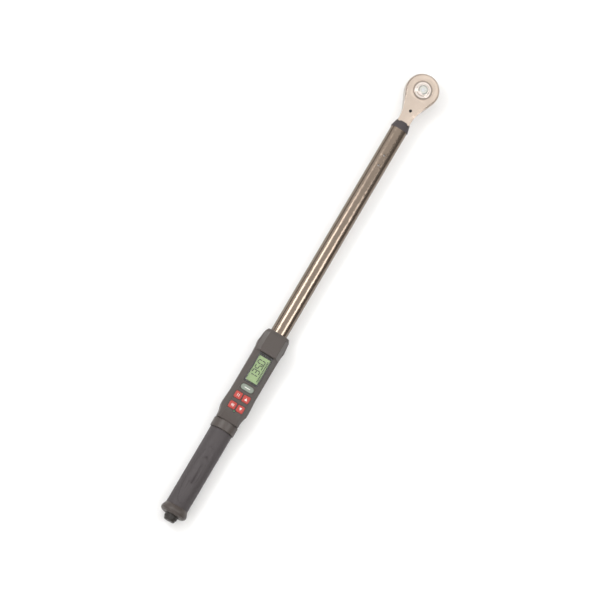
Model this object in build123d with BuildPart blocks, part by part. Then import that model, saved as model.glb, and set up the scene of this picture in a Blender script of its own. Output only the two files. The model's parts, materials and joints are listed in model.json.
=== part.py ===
from build123d import *
import math
import os

# Electronic torque wrench, 12.7 mm (half inch) square drive.
# Frame: +X runs from the handle to the head, the drive's axis is the Z axis,
# z = 0 is the shoulder that a socket seats on, and the display faces +Z.

# --- Overall layout along X -------------------------------------------------
AXIS_Z = 12.0  # height of the tube's centre line
TUBE_FRONT_X = -57.0
TUBE_BACK_X = -640.0
HOUSING_FRONT_X = -378.0
HOUSING_BACK_X = -512.0
GRIP_FRONT_X = -526.0
GRIP_BACK_X = -641.0
FLANGE_BACK_X = -653.0
CAP_BACK_X = -662.0

# --- Fits -------------------------------------------------------------------
RUNNING_GAP = 0.06  # radial, between a shaft and its bore
TOOL_OVERCUT = 1.0  # how far a cutting solid runs past the face that it cuts
SEAT_GAP = 0.05  # between parts of one assembly that sit together

# --- Ratchet head -----------------------------------------------------------
HEAD_RADIUS = 22.5
HEAD_BOTTOM_Z = 1.0
HEAD_TOP_Z = 23.0
HEAD_EDGE = 2.0
NECK_TOP_Z = 19.0
NECK_WIDTH = 17.5
NECK_END_X = -50.0
NECK_SLOPE_FRONT_X = -16.0
NECK_SLOPE_BACK_X = -37.0
NECK_UNDERSIDE_Z = 5.0
NECK_UNDERSIDE_FRONT_X = -33.0
NECK_UNDERSIDE_BACK_X = -46.0
NECK_RADIUS = 40.0
NECK_ANGLE = 24.5

# --- Drive gear, 36 teeth, and its square -----------------------------------
TEETH = 36
GEAR_TIP_RADIUS = 12.5
GEAR_ROOT_RADIUS = 11.6
GEAR_BOTTOM_Z = 3.6
GEAR_TOP_Z = 13.2
JOURNAL_RADIUS = 10.0
SQUARE = 12.7
SQUARE_LENGTH = 16.0
VALLEY_TIP_WIDTH = 1.58
VALLEY_ROOT_WIDTH = 0.52

# --- Socket detent ----------------------------------------------------------
BALL_RADIUS = 2.4
BALL_Y = 4.85
BALL_Z = -8.5
BALL_LIP = 0.45

# --- Rocking pawl -----------------------------------------------------------
PAWL_PIN_X = -18.5
PAWL_PIN_RADIUS = 1.6
PAWL_HUB_RADIUS = 3.2
PAWL_THROW = 6.5  # degrees either side of neutral
PAWL_BOTTOM_Z = 4.0
PAWL_TOP_Z = 13.2
PAWL_OUTER_RADIUS = 16.2
PAWL_WING_ANGLE = 57.0
PAWL_TOOTH_ANGLES = (30.0, 40.0, 50.0)
PAWL_TOOTH_GAP = 0.06
PAWL_TIP_RADIUS = 11.68
PAWL_BODY_GAP = 0.1
SADDLE_TOP_Z = 17.6
SADDLE_HALF_WIDTH = 5.5
SADDLE_CAVITY_RADIUS = 19.0
SADDLE_CAVITY_ANGLE = 35.0
PIN_SEAT_DEPTH = 2.0
POCKET_RADIUS = 18.6
POCKET_ANGLE = 64.0
POCKET_HUB_RADIUS = 3.5

# --- Direction selector -----------------------------------------------------
SELECTOR_THROW = 15.0  # degrees either side of the wrench's length
HUB_RADIUS = 10.5
HUB_BOTTOM_Z = 13.6
HUB_TOP_Z = 18.6
CAVITY_TOP_Z = 18.9
SPINDLE_RADIUS = 5.0
PLUNGER_RADIUS = 1.5
PLUNGER_TIP_CENTRE = 13.6
PLUNGER_BACK = 7.2
PLUNGER_BORE_BACK = 3.2
PLUNGER_Z = 15.6
KNOB_BOTTOM_Z = 23.15
KNOB_RIM_Z = 25.2
KNOB_TOP_Z = 28.5
KNOB_RIM_RADIUS = 11.2
KNOB_RADIUS = 8.3
RING_GROOVE_RADIUS = 13.0
RING_GROOVE_DEPTH = 0.9
RING_GROOVE_UNDERCUT = 0.6  # how far the groove reaches in under the knob's rim
KNOB_SQUARE = 7.0
KNOB_SQUARE_CORNER = 0.8
KNOB_SQUARE_HEIGHT = 2.0
KNOB_SCREW_TAP_RADIUS = 1.25
KNOB_SCREW_CLEARANCE = 1.35
KNOB_SCREW_HEAD_RADIUS = 2.6
KNOB_ARC_OUTER = 6.2
KNOB_ARC_INNER = 4.9
KNOB_ARC_START = 30.0
KNOB_ARC_SWEEP = 300.0
SEAL_WIDTH = 1.6
SEAL_HEIGHT = 1.5
SEAL_RECESS = 1.7

# --- Head cover -------------------------------------------------------------
COVER_THICKNESS = 2.2
COVER_RADIUS = 20.0
COVER_TAIL_X = -23.5
COVER_TAIL_RADIUS = 5.0
COVER_SCREW_TAP_RADIUS = 1.25
COVER_SCREW_TAP_DEPTH = 5.5
COVER_SCREW_CLEARANCE = 1.35
OIL_PORT_X = -31.6
OIL_PORT_RADIUS = 2.0
OIL_PORT_DEPTH = 5.0
OIL_SCREW_SUNK = 0.7
COVER_SCREW_POINTS = ((16.2, 0), (4.2, 15.65), (4.2, -15.65), (-26.0, 0))

# --- Measuring beam and its block inside the tube ---------------------------
BEAM_WIDTH = 13.0
BEAM_HEIGHT = 10.0
BEAM_WAIST = 10.0
BEAM_CORNER = 1.5
WAIST_FRONT_X = -74.0
WAIST_BACK_X = -90.0
BLOCK_FRONT_X = -96.0
BLOCK_BACK_X = -121.0
TUBE_PIN_XS = (-101.0, -116.0)
TUBE_PIN_RADIUS = 2.5

# --- Oval tube --------------------------------------------------------------
TUBE_SEMI_Y = 11.7
TUBE_SEMI_Z = 9.7
TUBE_WALL = 2.05

COLLAR_FRONT_X = -48.5
COLLAR_BACK_X = -59.5
COLLAR_FRONT_SIZE = (9.6, 8.2)  # semi-axes along Y and Z
COLLAR_BACK_SIZE = (12.65, 10.65)
CABLE_SLOT_FRONT_X = -400.0
CABLE_SLOT_BACK_X = -412.0
CABLE_SLOT_WIDTH = 5.0

# --- Housing ----------------------------------------------------------------
HOUSING_TUBE_GAP = 0.15
HOUSING_STEP_X = -499.0
HOUSING_TAIL_Z = 28.5
HOUSING_BOSS_RADIUS = 2.6
BOARD_BOSS_RADIUS = 1.9
HOUSING_WALL = 2.2
HOUSING_BOTTOM_Z = -5.0
DECK_Z = 32.0
DECK_WIDTH = 21.4
HOOD_Z = 36.0
HOOD_BACK_X = -410.0
HOOD_WIDTH = 24.0
SHOULDER_Z = 24.0
GASKET_HEIGHT = 0.8
HOUSING_SCREW_XS = (-388.0, -450.0, -500.0)
HOUSING_SCREW_Y = 14.0


def across(x):
    """Plane square to the wrench's length at x, centred on the tube, with local x along +Y."""
    return Plane(origin=(x, 0, AXIS_Z), x_dir=(0, 1, 0), z_dir=(1, 0, 0))


def polar(radius, degrees, centre=(0.0, 0.0)):
    """Point at a radius and an angle about a centre in the XY plane."""
    angle = math.radians(degrees)
    return (centre[0] + radius * math.cos(angle), centre[1] + radius * math.sin(angle))


def turned(point, degrees, centre):
    """A point turned about a centre in the XY plane."""
    dx, dy = point[0] - centre[0], point[1] - centre[1]
    angle = math.radians(degrees)
    return (
        centre[0] + dx * math.cos(angle) - dy * math.sin(angle),
        centre[1] + dx * math.sin(angle) + dy * math.cos(angle),
    )


os.makedirs("parts", exist_ok=True)

# ============================ RATCHET HEAD ===================================
pawl_pin = (PAWL_PIN_X, 0.0)
cover_top_z = HEAD_BOTTOM_Z + COVER_THICKNESS
neck_tangent = polar(HEAD_RADIUS, 180 - (90 - NECK_ANGLE))
neck_side = NECK_WIDTH / 2
neck_corner_x = neck_tangent[0] - (neck_tangent[1] - neck_side) / math.tan(math.radians(NECK_ANGLE))
head_bore_radius = GEAR_TIP_RADIUS + RUNNING_GAP
pocket_top_z = PAWL_TOP_Z + 0.1
upper_cavity_radius = HUB_RADIUS + 0.7

with BuildPart() as ratchet_head:
    with BuildSketch(Plane.XY.offset(HEAD_BOTTOM_Z)):
        Circle(HEAD_RADIUS)
    extrude(amount=HEAD_TOP_Z - HEAD_BOTTOM_Z)
    with BuildSketch(Plane.XY.offset(HEAD_BOTTOM_Z)) as neck_outline:
        with BuildLine():
            Polyline(
                (0, 0),
                neck_tangent,
                (neck_corner_x, neck_side),
                (NECK_END_X, neck_side),
                (NECK_END_X, -neck_side),
                (neck_corner_x, -neck_side),
                (neck_tangent[0], -neck_tangent[1]),
                close=True,
            )
        make_face()
        bends = [v for v in neck_outline.vertices() if abs(v.X - neck_corner_x) < 0.01]
        fillet(bends, radius=NECK_RADIUS)
    extrude(amount=HEAD_TOP_Z - HEAD_BOTTOM_Z)
    chamfer(ratchet_head.faces().sort_by(Axis.Z)[-1].edges(), length=HEAD_EDGE)
    # the forging's top falls from the disc to the neck, and its underside rises towards the collar
    with BuildSketch(Plane.XZ):
        with BuildLine():
            Polyline(
                (NECK_SLOPE_FRONT_X, HEAD_TOP_Z),
                (NECK_SLOPE_FRONT_X, HEAD_TOP_Z + TOOL_OVERCUT),
                (NECK_END_X - TOOL_OVERCUT, HEAD_TOP_Z + TOOL_OVERCUT),
                (NECK_END_X - TOOL_OVERCUT, NECK_TOP_Z),
                (NECK_SLOPE_BACK_X, NECK_TOP_Z),
                close=True,
            )
        make_face()
    extrude(amount=NECK_WIDTH * 2, both=True, mode=Mode.SUBTRACT)
    with BuildSketch(Plane.XZ):
        with BuildLine():
            Polyline(
                (NECK_UNDERSIDE_FRONT_X, 0),
                (NECK_END_X - TOOL_OVERCUT, 0),
                (NECK_END_X - TOOL_OVERCUT, NECK_UNDERSIDE_Z),
                (NECK_UNDERSIDE_BACK_X, NECK_UNDERSIDE_Z),
                (NECK_UNDERSIDE_FRONT_X, HEAD_BOTTOM_Z),
                close=True,
            )
        make_face()
    extrude(amount=NECK_WIDTH, both=True, mode=Mode.SUBTRACT)
    # measuring beam with its gauge waist, then the block pinned in the tube
    with BuildSketch(across(NECK_END_X)):
        RectangleRounded(BEAM_WIDTH, BEAM_HEIGHT, BEAM_CORNER)
    extrude(amount=BLOCK_FRONT_X - NECK_END_X)
    waist_cut = (BEAM_WIDTH - BEAM_WAIST) / 2
    for side in (1, -1):
        waist_centre = side * (BEAM_WIDTH - waist_cut) / 2
        with BuildSketch(Plane(origin=(0, 0, AXIS_Z))):
            with Locations(((WAIST_FRONT_X + WAIST_BACK_X) / 2, waist_centre)):
                Rectangle(WAIST_FRONT_X - WAIST_BACK_X, waist_cut)
        extrude(amount=BEAM_HEIGHT, both=True, mode=Mode.SUBTRACT)
    with BuildSketch(across(BLOCK_FRONT_X)):
        Ellipse(TUBE_SEMI_Y - TUBE_WALL - SEAT_GAP, TUBE_SEMI_Z - TUBE_WALL - SEAT_GAP)
    extrude(amount=BLOCK_BACK_X - BLOCK_FRONT_X)
    with BuildSketch(Plane.XY):
        with Locations(*[(x, 0) for x in TUBE_PIN_XS]):
            Circle(TUBE_PIN_RADIUS)
    extrude(amount=HEAD_TOP_Z, mode=Mode.SUBTRACT)
    # recess for the cover, gear bore, pawl pocket and selector cavity
    with BuildSketch(Plane.XY.offset(HEAD_BOTTOM_Z)) as cover_recess:
        Circle(COVER_RADIUS + SEAT_GAP)
        with Locations((COVER_TAIL_X, 0)):
            Circle(COVER_TAIL_RADIUS + SEAT_GAP)
        make_hull()
    extrude(amount=COVER_THICKNESS, mode=Mode.SUBTRACT)
    with BuildSketch(Plane.XY.offset(cover_top_z)):
        Circle(head_bore_radius)
        with BuildLine():
            start = CenterArc((0, 0), POCKET_RADIUS, 180 - POCKET_ANGLE, 2 * POCKET_ANGLE)
            Line(start @ 1, (0, 0))
            Line((0, 0), start @ 0)
        make_face()
        with Locations(pawl_pin):
            Circle(POCKET_HUB_RADIUS)
    extrude(amount=pocket_top_z - cover_top_z, mode=Mode.SUBTRACT)
    with BuildSketch(Plane.XY.offset(pocket_top_z)):
        Circle(upper_cavity_radius)
        with BuildLine():
            rim = CenterArc((0, 0), SADDLE_CAVITY_RADIUS, 180 - SADDLE_CAVITY_ANGLE, 2 * SADDLE_CAVITY_ANGLE)
            Line(rim @ 1, (0, 0))
            Line((0, 0), rim @ 0)
        make_face()
    extrude(amount=CAVITY_TOP_Z - pocket_top_z, mode=Mode.SUBTRACT)
    with BuildSketch(Plane.XY.offset(CAVITY_TOP_Z)):
        Circle(SPINDLE_RADIUS + RUNNING_GAP)
    extrude(amount=HEAD_TOP_Z, mode=Mode.SUBTRACT)
    with BuildSketch(Plane.XY.offset(HEAD_TOP_Z - SEAL_RECESS)):
        Circle(SPINDLE_RADIUS + SEAL_WIDTH + SEAT_GAP)
    extrude(amount=SEAL_RECESS, mode=Mode.SUBTRACT)
    with BuildSketch(Plane.XY.offset(HEAD_TOP_Z - RING_GROOVE_DEPTH)):
        Circle(RING_GROOVE_RADIUS)
        Circle(KNOB_RIM_RADIUS - RING_GROOVE_UNDERCUT, mode=Mode.SUBTRACT)
    extrude(amount=RING_GROOVE_DEPTH, mode=Mode.SUBTRACT)
    # pin seat, cover screw holes and the oil port
    with BuildSketch(Plane.XY.offset(cover_top_z)):
        with Locations(pawl_pin):
            Circle(PAWL_PIN_RADIUS)
    extrude(amount=CAVITY_TOP_Z + PIN_SEAT_DEPTH - cover_top_z, mode=Mode.SUBTRACT)
    with BuildSketch(Plane.XY.offset(cover_top_z)):
        with Locations(*COVER_SCREW_POINTS):
            Circle(COVER_SCREW_TAP_RADIUS)
    extrude(amount=COVER_SCREW_TAP_DEPTH, mode=Mode.SUBTRACT)
    with BuildSketch(Plane.XY.offset(NECK_TOP_Z - OIL_PORT_DEPTH)):
        with Locations((OIL_PORT_X, 0)):
            Circle(OIL_PORT_RADIUS)
    extrude(amount=HEAD_TOP_Z - NECK_TOP_Z + OIL_PORT_DEPTH, mode=Mode.SUBTRACT)
ratchet_head.part.label = "ratchet_head"
export_step(ratchet_head.part, "parts/ratchet_head.step")

valley_depth = GEAR_TIP_RADIUS + 0.1 - GEAR_ROOT_RADIUS
valley_centre_radius = GEAR_ROOT_RADIUS + valley_depth / 2
valley_flank_angle = math.degrees(math.atan2(valley_depth, (VALLEY_TIP_WIDTH - VALLEY_ROOT_WIDTH) / 2))

# The drive gear: round journal, toothed rim, square tang and the detent's bore.
with BuildPart() as drive_gear:
    with BuildSketch(Plane.XY):
        Circle(JOURNAL_RADIUS)
    extrude(amount=GEAR_TOP_Z)
    with BuildSketch(Plane.XY.offset(GEAR_BOTTOM_Z)):
        Circle(GEAR_TIP_RADIUS)
        with PolarLocations(valley_centre_radius, TEETH):
            Trapezoid(
                VALLEY_TIP_WIDTH,
                valley_depth,
                valley_flank_angle,
                rotation=90,
                mode=Mode.SUBTRACT,
            )
    extrude(amount=GEAR_TOP_Z - GEAR_BOTTOM_Z)
    with BuildSketch(Plane.XY):
        RectangleRounded(SQUARE, SQUARE, 1.2)
    extrude(amount=-SQUARE_LENGTH)
    chamfer(drive_gear.faces().sort_by(Axis.Z)[0].edges(), length=0.8)
    with BuildSketch(Plane(origin=(0, SQUARE / 2, BALL_Z), z_dir=(0, -1, 0))):
        Circle(BALL_RADIUS - 0.2)
    extrude(amount=SQUARE / 2 + 2.0, mode=Mode.SUBTRACT)
    with BuildSketch(Plane(origin=(0, SQUARE / 2 - BALL_LIP, BALL_Z), z_dir=(0, -1, 0))):
        Circle(BALL_RADIUS + SEAT_GAP)
    extrude(amount=SQUARE / 2 + 2.0 - BALL_LIP, mode=Mode.SUBTRACT)
drive_gear.part.label = "drive_gear"
export_step(drive_gear.part, "parts/drive_gear.step")

with BuildPart() as detent_ball:
    with Locations((0, BALL_Y, BALL_Z)):
        Sphere(BALL_RADIUS)
detent_ball.part.label = "detent_ball"
export_step(detent_ball.part, "parts/detent_ball.step")

detent_spring_length = BALL_Y - BALL_RADIUS + 2.0 - 2 * 0.1
with BuildPart() as detent_spring:
    with BuildLine() as detent_coil:
        Helix(
            pitch=1.0,
            height=detent_spring_length - 0.5,
            radius=1.6,
            center=(0, -1.65, BALL_Z),
            direction=(0, 1, 0),
        )
    with BuildSketch(Plane(origin=detent_coil.line @ 0, z_dir=detent_coil.line % 0)):
        Circle(0.22)
    sweep(path=detent_coil.line, is_frenet=True)
detent_spring.part.label = "detent_spring"
export_step(detent_spring.part, "parts/detent_spring.step")

# The rocking pawl turns on its pin. Its sketch is drawn neutral, about the pin, on a plane that is
# swung by the throw, so at rest the -Y wing is in mesh and the +Y wing stands clear.
engaged_centre = turned((0, 0), -PAWL_THROW, pawl_pin)
released_centre = turned((0, 0), PAWL_THROW, pawl_pin)
flank_slope = (VALLEY_TIP_WIDTH - VALLEY_ROOT_WIDTH) / 2 / valley_depth
tooth_outer_radius = GEAR_TIP_RADIUS + PAWL_BODY_GAP + 0.6
tooth_root_half = VALLEY_ROOT_WIDTH / 2 - PAWL_TOOTH_GAP
tooth_outer_half = tooth_root_half + (tooth_outer_radius - GEAR_ROOT_RADIUS) * flank_slope
tooth_tip_half = tooth_root_half + (PAWL_TIP_RADIUS - GEAR_ROOT_RADIUS) * flank_slope
tooth_profile = (
    (PAWL_TIP_RADIUS, tooth_tip_half),
    (tooth_outer_radius, tooth_outer_half),
    (tooth_outer_radius, -tooth_outer_half),
    (PAWL_TIP_RADIUS, -tooth_tip_half),
)

# The saddle's face follows the plunger's rounded tip through the selector's whole swing.
tip_at_end = turned(polar(PLUNGER_TIP_CENTRE, 180 - SELECTOR_THROW), -PAWL_THROW, pawl_pin)
sagitta = tip_at_end[0] + PLUNGER_TIP_CENTRE
face_arc_radius = (sagitta**2 + tip_at_end[1] ** 2) / (2 * sagitta)
face_centre_x = face_arc_radius - PLUNGER_TIP_CENTRE
saddle_back_x = PAWL_PIN_X + 1.3
saddle_front_x = -12.0


def from_pin(point):
    """A point of the head's plan, measured from the pawl's pin."""
    return (point[0] - PAWL_PIN_X, point[1])


def pawl_plane(z):
    """Sketch plane on the pawl's pin, swung by the pawl's throw."""
    swing = math.radians(PAWL_THROW)
    return Plane(origin=(PAWL_PIN_X, 0, z), x_dir=(math.cos(swing), math.sin(swing), 0), z_dir=(0, 0, 1))


with BuildPart() as pawl:
    with BuildSketch(pawl_plane(PAWL_BOTTOM_Z)):
        with BuildLine():
            pawl_back = CenterArc(
                from_pin((0, 0)), PAWL_OUTER_RADIUS, 180 - PAWL_WING_ANGLE, 2 * PAWL_WING_ANGLE
            )
            Line(pawl_back @ 1, from_pin((0, 0)))
            Line(from_pin((0, 0)), pawl_back @ 0)
        make_face()
        Circle(PAWL_HUB_RADIUS)
        with Locations(from_pin(engaged_centre), from_pin(released_centre)):
            Circle(GEAR_TIP_RADIUS + PAWL_BODY_GAP, mode=Mode.SUBTRACT)
        for side in (1, -1):
            for angle in PAWL_TOOTH_ANGLES:
                meshed = [turned(p, 180 + side * angle, (0, 0)) for p in tooth_profile]
                neutral = [turned(p, -side * PAWL_THROW, pawl_pin) for p in meshed]
                with BuildLine():
                    Polyline(*[from_pin(p) for p in neutral], close=True)
                make_face()
    extrude(amount=PAWL_TOP_Z - PAWL_BOTTOM_Z)
    with BuildSketch(pawl_plane(PAWL_TOP_Z)):
        with Locations(from_pin(((saddle_back_x + saddle_front_x) / 2, 0))):
            Rectangle(saddle_front_x - saddle_back_x, 2 * SADDLE_HALF_WIDTH)
        with Locations(from_pin((face_centre_x, 0))):
            Circle(face_arc_radius + PLUNGER_RADIUS + PAWL_BODY_GAP, mode=Mode.SUBTRACT)
    extrude(amount=SADDLE_TOP_Z - PAWL_TOP_Z)
    with BuildSketch(pawl_plane(PAWL_BOTTOM_Z)):
        Circle(PAWL_PIN_RADIUS + SEAT_GAP)
    extrude(amount=SADDLE_TOP_Z, mode=Mode.SUBTRACT)
pawl.part.label = "pawl"
export_step(pawl.part, "parts/pawl.step")

with BuildPart() as pawl_pin_piece:
    with BuildSketch(Plane.XY.offset(cover_top_z)):
        with Locations(pawl_pin):
            Circle(PAWL_PIN_RADIUS)
    extrude(amount=CAVITY_TOP_Z + PIN_SEAT_DEPTH - cover_top_z)
pawl_pin_piece.part.label = "pawl_pin"
export_step(pawl_pin_piece.part, "parts/pawl_pin.step")


def selector_plane(z):
    """Sketch plane at height z whose local +X runs along the selector's arm at rest."""
    arm = polar(1, 180 - SELECTOR_THROW)
    return Plane(origin=(0, 0, z), x_dir=(arm[0], arm[1], 0), z_dir=(0, 0, 1))


def radial_plane(distance, z):
    """Plane square to the selector's arm, at a distance from the drive's axis."""
    arm = polar(1, 180 - SELECTOR_THROW)
    return Plane(origin=(distance * arm[0], distance * arm[1], z), z_dir=(arm[0], arm[1], 0))


with BuildPart() as selector_hub:
    with BuildSketch(Plane.XY.offset(HUB_BOTTOM_Z)):
        Circle(HUB_RADIUS)
    extrude(amount=HUB_TOP_Z - HUB_BOTTOM_Z)
    with BuildSketch(Plane.XY.offset(HUB_TOP_Z)):
        Circle(SPINDLE_RADIUS)
    extrude(amount=KNOB_BOTTOM_Z - HUB_TOP_Z)
    with BuildSketch(Plane.XY.offset(KNOB_BOTTOM_Z)):
        RectangleRounded(KNOB_SQUARE, KNOB_SQUARE, KNOB_SQUARE_CORNER)
    extrude(amount=KNOB_SQUARE_HEIGHT)
    with BuildSketch(radial_plane(PLUNGER_BORE_BACK, PLUNGER_Z)):
        Circle(PLUNGER_RADIUS + SEAT_GAP)
    extrude(amount=HUB_RADIUS, mode=Mode.SUBTRACT)
    with BuildSketch(Plane.XY.offset(KNOB_BOTTOM_Z + KNOB_SQUARE_HEIGHT)):
        Circle(KNOB_SCREW_TAP_RADIUS)
    extrude(amount=-6.0, mode=Mode.SUBTRACT)
selector_hub.part.label = "selector_hub"
export_step(selector_hub.part, "parts/selector_hub.step")

screw_seat_z = KNOB_TOP_Z - 1.4
with BuildPart() as selector_knob:
    with BuildSketch(Plane.XY.offset(KNOB_BOTTOM_Z)):
        Circle(KNOB_RIM_RADIUS)
    extrude(amount=KNOB_RIM_Z - KNOB_BOTTOM_Z)
    fillet(selector_knob.edges().group_by(Axis.Z)[-1], radius=0.8)
    with BuildSketch(Plane.XY.offset(KNOB_RIM_Z)):
        Circle(KNOB_RADIUS)
    extrude(amount=KNOB_TOP_Z - KNOB_RIM_Z)
    fillet(selector_knob.edges().group_by(Axis.Z)[-1], radius=0.7)
    with BuildSketch(Plane.XY.offset(KNOB_BOTTOM_Z)):
        RectangleRounded(KNOB_SQUARE + 2 * SEAT_GAP, KNOB_SQUARE + 2 * SEAT_GAP, KNOB_SQUARE_CORNER)
    extrude(amount=KNOB_SQUARE_HEIGHT + SEAT_GAP, mode=Mode.SUBTRACT)
    with BuildSketch(Plane.XY.offset(KNOB_TOP_Z)):
        Circle(KNOB_SCREW_CLEARANCE)
    extrude(amount=KNOB_BOTTOM_Z - KNOB_TOP_Z, mode=Mode.SUBTRACT)
    with BuildSketch(Plane.XY.offset(screw_seat_z)):
        Circle(KNOB_SCREW_HEAD_RADIUS + 2 * SEAT_GAP)
    extrude(amount=2.0, mode=Mode.SUBTRACT)
    # curved direction groove, 300 degrees round the knob's face
    with BuildSketch(selector_plane(KNOB_TOP_Z - 0.5)):
        with BuildLine():
            groove_outer = CenterArc((0, 0), KNOB_ARC_OUTER, KNOB_ARC_START, KNOB_ARC_SWEEP)
            groove_inner = CenterArc((0, 0), KNOB_ARC_INNER, KNOB_ARC_START, KNOB_ARC_SWEEP)
            Line(groove_outer @ 0, groove_inner @ 0)
            Line(groove_outer @ 1, groove_inner @ 1)
        make_face()
    extrude(amount=1.0, mode=Mode.SUBTRACT)
selector_knob.part.label = "selector_knob"
export_step(selector_knob.part, "parts/selector_knob.step")

with BuildPart() as selector_screw:
    with BuildSketch(Plane.XY.offset(screw_seat_z)):
        Circle(KNOB_SCREW_HEAD_RADIUS)
    extrude(amount=1.2)
    with BuildSketch(Plane.XY.offset(screw_seat_z)):
        Circle(1.2)
    extrude(amount=KNOB_BOTTOM_Z - 3.5 - screw_seat_z)
    with BuildSketch(Plane.XY.offset(screw_seat_z + 0.5)):
        Rectangle(3.6, 0.7)
        Rectangle(0.7, 3.6)
    extrude(amount=1.0, mode=Mode.SUBTRACT)
selector_screw.part.label = "selector_screw"
export_step(selector_screw.part, "parts/selector_screw.step")

with BuildPart() as selector_seal:
    with BuildSketch(Plane.XY.offset(HEAD_TOP_Z - SEAL_RECESS + SEAT_GAP)):
        Circle(SPINDLE_RADIUS + SEAL_WIDTH)
        Circle(SPINDLE_RADIUS + 0.08, mode=Mode.SUBTRACT)
    extrude(amount=SEAL_HEIGHT)
selector_seal.part.label = "selector_seal"
export_step(selector_seal.part, "parts/selector_seal.step")

with BuildPart() as selector_plunger:
    with BuildSketch(radial_plane(PLUNGER_BACK, PLUNGER_Z)):
        Circle(PLUNGER_RADIUS)
    extrude(amount=PLUNGER_TIP_CENTRE - PLUNGER_BACK)
    with Locations((*polar(PLUNGER_TIP_CENTRE, 180 - SELECTOR_THROW), PLUNGER_Z)):
        Sphere(PLUNGER_RADIUS)
selector_plunger.part.label = "selector_plunger"
export_step(selector_plunger.part, "parts/selector_plunger.step")

arm_start = polar(PLUNGER_BORE_BACK + 0.3, 180 - SELECTOR_THROW)
arm_direction = polar(1, 180 - SELECTOR_THROW)
with BuildPart() as selector_spring:
    with BuildLine() as selector_coil:
        Helix(
            pitch=0.9,
            height=PLUNGER_BACK - PLUNGER_BORE_BACK - 0.6,
            radius=1.1,
            center=(*arm_start, PLUNGER_Z),
            direction=(*arm_direction, 0),
        )
    with BuildSketch(Plane(origin=selector_coil.line @ 0, z_dir=selector_coil.line % 0)):
        Circle(0.2)
    sweep(path=selector_coil.line, is_frenet=True)
selector_spring.part.label = "selector_spring"
export_step(selector_spring.part, "parts/selector_spring.step")

with BuildPart() as head_cover:
    with BuildSketch(Plane.XY.offset(HEAD_BOTTOM_Z)):
        Circle(COVER_RADIUS)
        with Locations((COVER_TAIL_X, 0)):
            Circle(COVER_TAIL_RADIUS)
        make_hull()
        Circle(JOURNAL_RADIUS + RUNNING_GAP, mode=Mode.SUBTRACT)
        with Locations(*COVER_SCREW_POINTS):
            Circle(COVER_SCREW_CLEARANCE, mode=Mode.SUBTRACT)
    extrude(amount=COVER_THICKNESS)
    for point in COVER_SCREW_POINTS:
        with Locations(Plane(origin=(point[0], point[1], HEAD_BOTTOM_Z), z_dir=(0, 0, -1))):
            CounterSinkHole(radius=COVER_SCREW_CLEARANCE, counter_sink_radius=2.5, depth=COVER_THICKNESS)
head_cover.part.label = "head_cover"
export_step(head_cover.part, "parts/head_cover.step")

with BuildPart() as cover_screws:
    for point in COVER_SCREW_POINTS:
        with BuildSketch(Plane(origin=(point[0], point[1], HEAD_BOTTOM_Z + 0.05))):
            Circle(2.4)
        extrude(amount=1.15, taper=45)
        with BuildSketch(Plane(origin=(point[0], point[1], HEAD_BOTTOM_Z + 0.05))):
            Circle(1.22)
        extrude(amount=COVER_THICKNESS + 4.5)
        with BuildSketch(Plane(origin=(point[0], point[1], HEAD_BOTTOM_Z))):
            RegularPolygon(radius=1.0, side_count=6)
        extrude(amount=0.9, mode=Mode.SUBTRACT)
cover_screws.part.label = "cover_screws"
export_step(cover_screws.part, "parts/cover_screws.step")

with BuildPart() as oil_screw:
    with BuildSketch(Plane.XY.offset(NECK_TOP_Z - OIL_PORT_DEPTH)):
        with Locations((OIL_PORT_X, 0)):
            Circle(OIL_PORT_RADIUS)
    extrude(amount=OIL_PORT_DEPTH - OIL_SCREW_SUNK)
    with BuildSketch(Plane.XY.offset(NECK_TOP_Z - OIL_SCREW_SUNK)):
        with Locations((OIL_PORT_X, 0)):
            RegularPolygon(radius=1.1, side_count=6)
    extrude(amount=-1.6, mode=Mode.SUBTRACT)
oil_screw.part.label = "oil_screw"
export_step(oil_screw.part, "parts/oil_screw.step")

# ============================ TUBE AND COLLAR ================================
with BuildPart() as front_collar:
    with BuildSketch(across(COLLAR_FRONT_X)):
        Ellipse(*COLLAR_FRONT_SIZE)
    with BuildSketch(across(COLLAR_BACK_X)):
        Ellipse(*COLLAR_BACK_SIZE)
    loft()
    with BuildSketch(across(COLLAR_FRONT_X + TOOL_OVERCUT)):
        Rectangle(NECK_WIDTH + 2 * SEAT_GAP, 2 * (NECK_TOP_Z - AXIS_Z) + 2 * SEAT_GAP)
    extrude(amount=NECK_END_X - SEAT_GAP - COLLAR_FRONT_X - TOOL_OVERCUT, mode=Mode.SUBTRACT)
    with BuildSketch(across(COLLAR_FRONT_X + TOOL_OVERCUT)):
        RectangleRounded(BEAM_WIDTH + 2 * SEAT_GAP, BEAM_HEIGHT + 2 * SEAT_GAP, BEAM_CORNER)
    extrude(amount=TUBE_FRONT_X - COLLAR_FRONT_X - 2 * TOOL_OVERCUT, mode=Mode.SUBTRACT)
    with BuildSketch(across(TUBE_FRONT_X + SEAT_GAP)):
        Ellipse(TUBE_SEMI_Y + SEAT_GAP, TUBE_SEMI_Z + SEAT_GAP)
    extrude(amount=-10, mode=Mode.SUBTRACT)
front_collar.part.label = "front_collar"
export_step(front_collar.part, "parts/front_collar.step")

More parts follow.
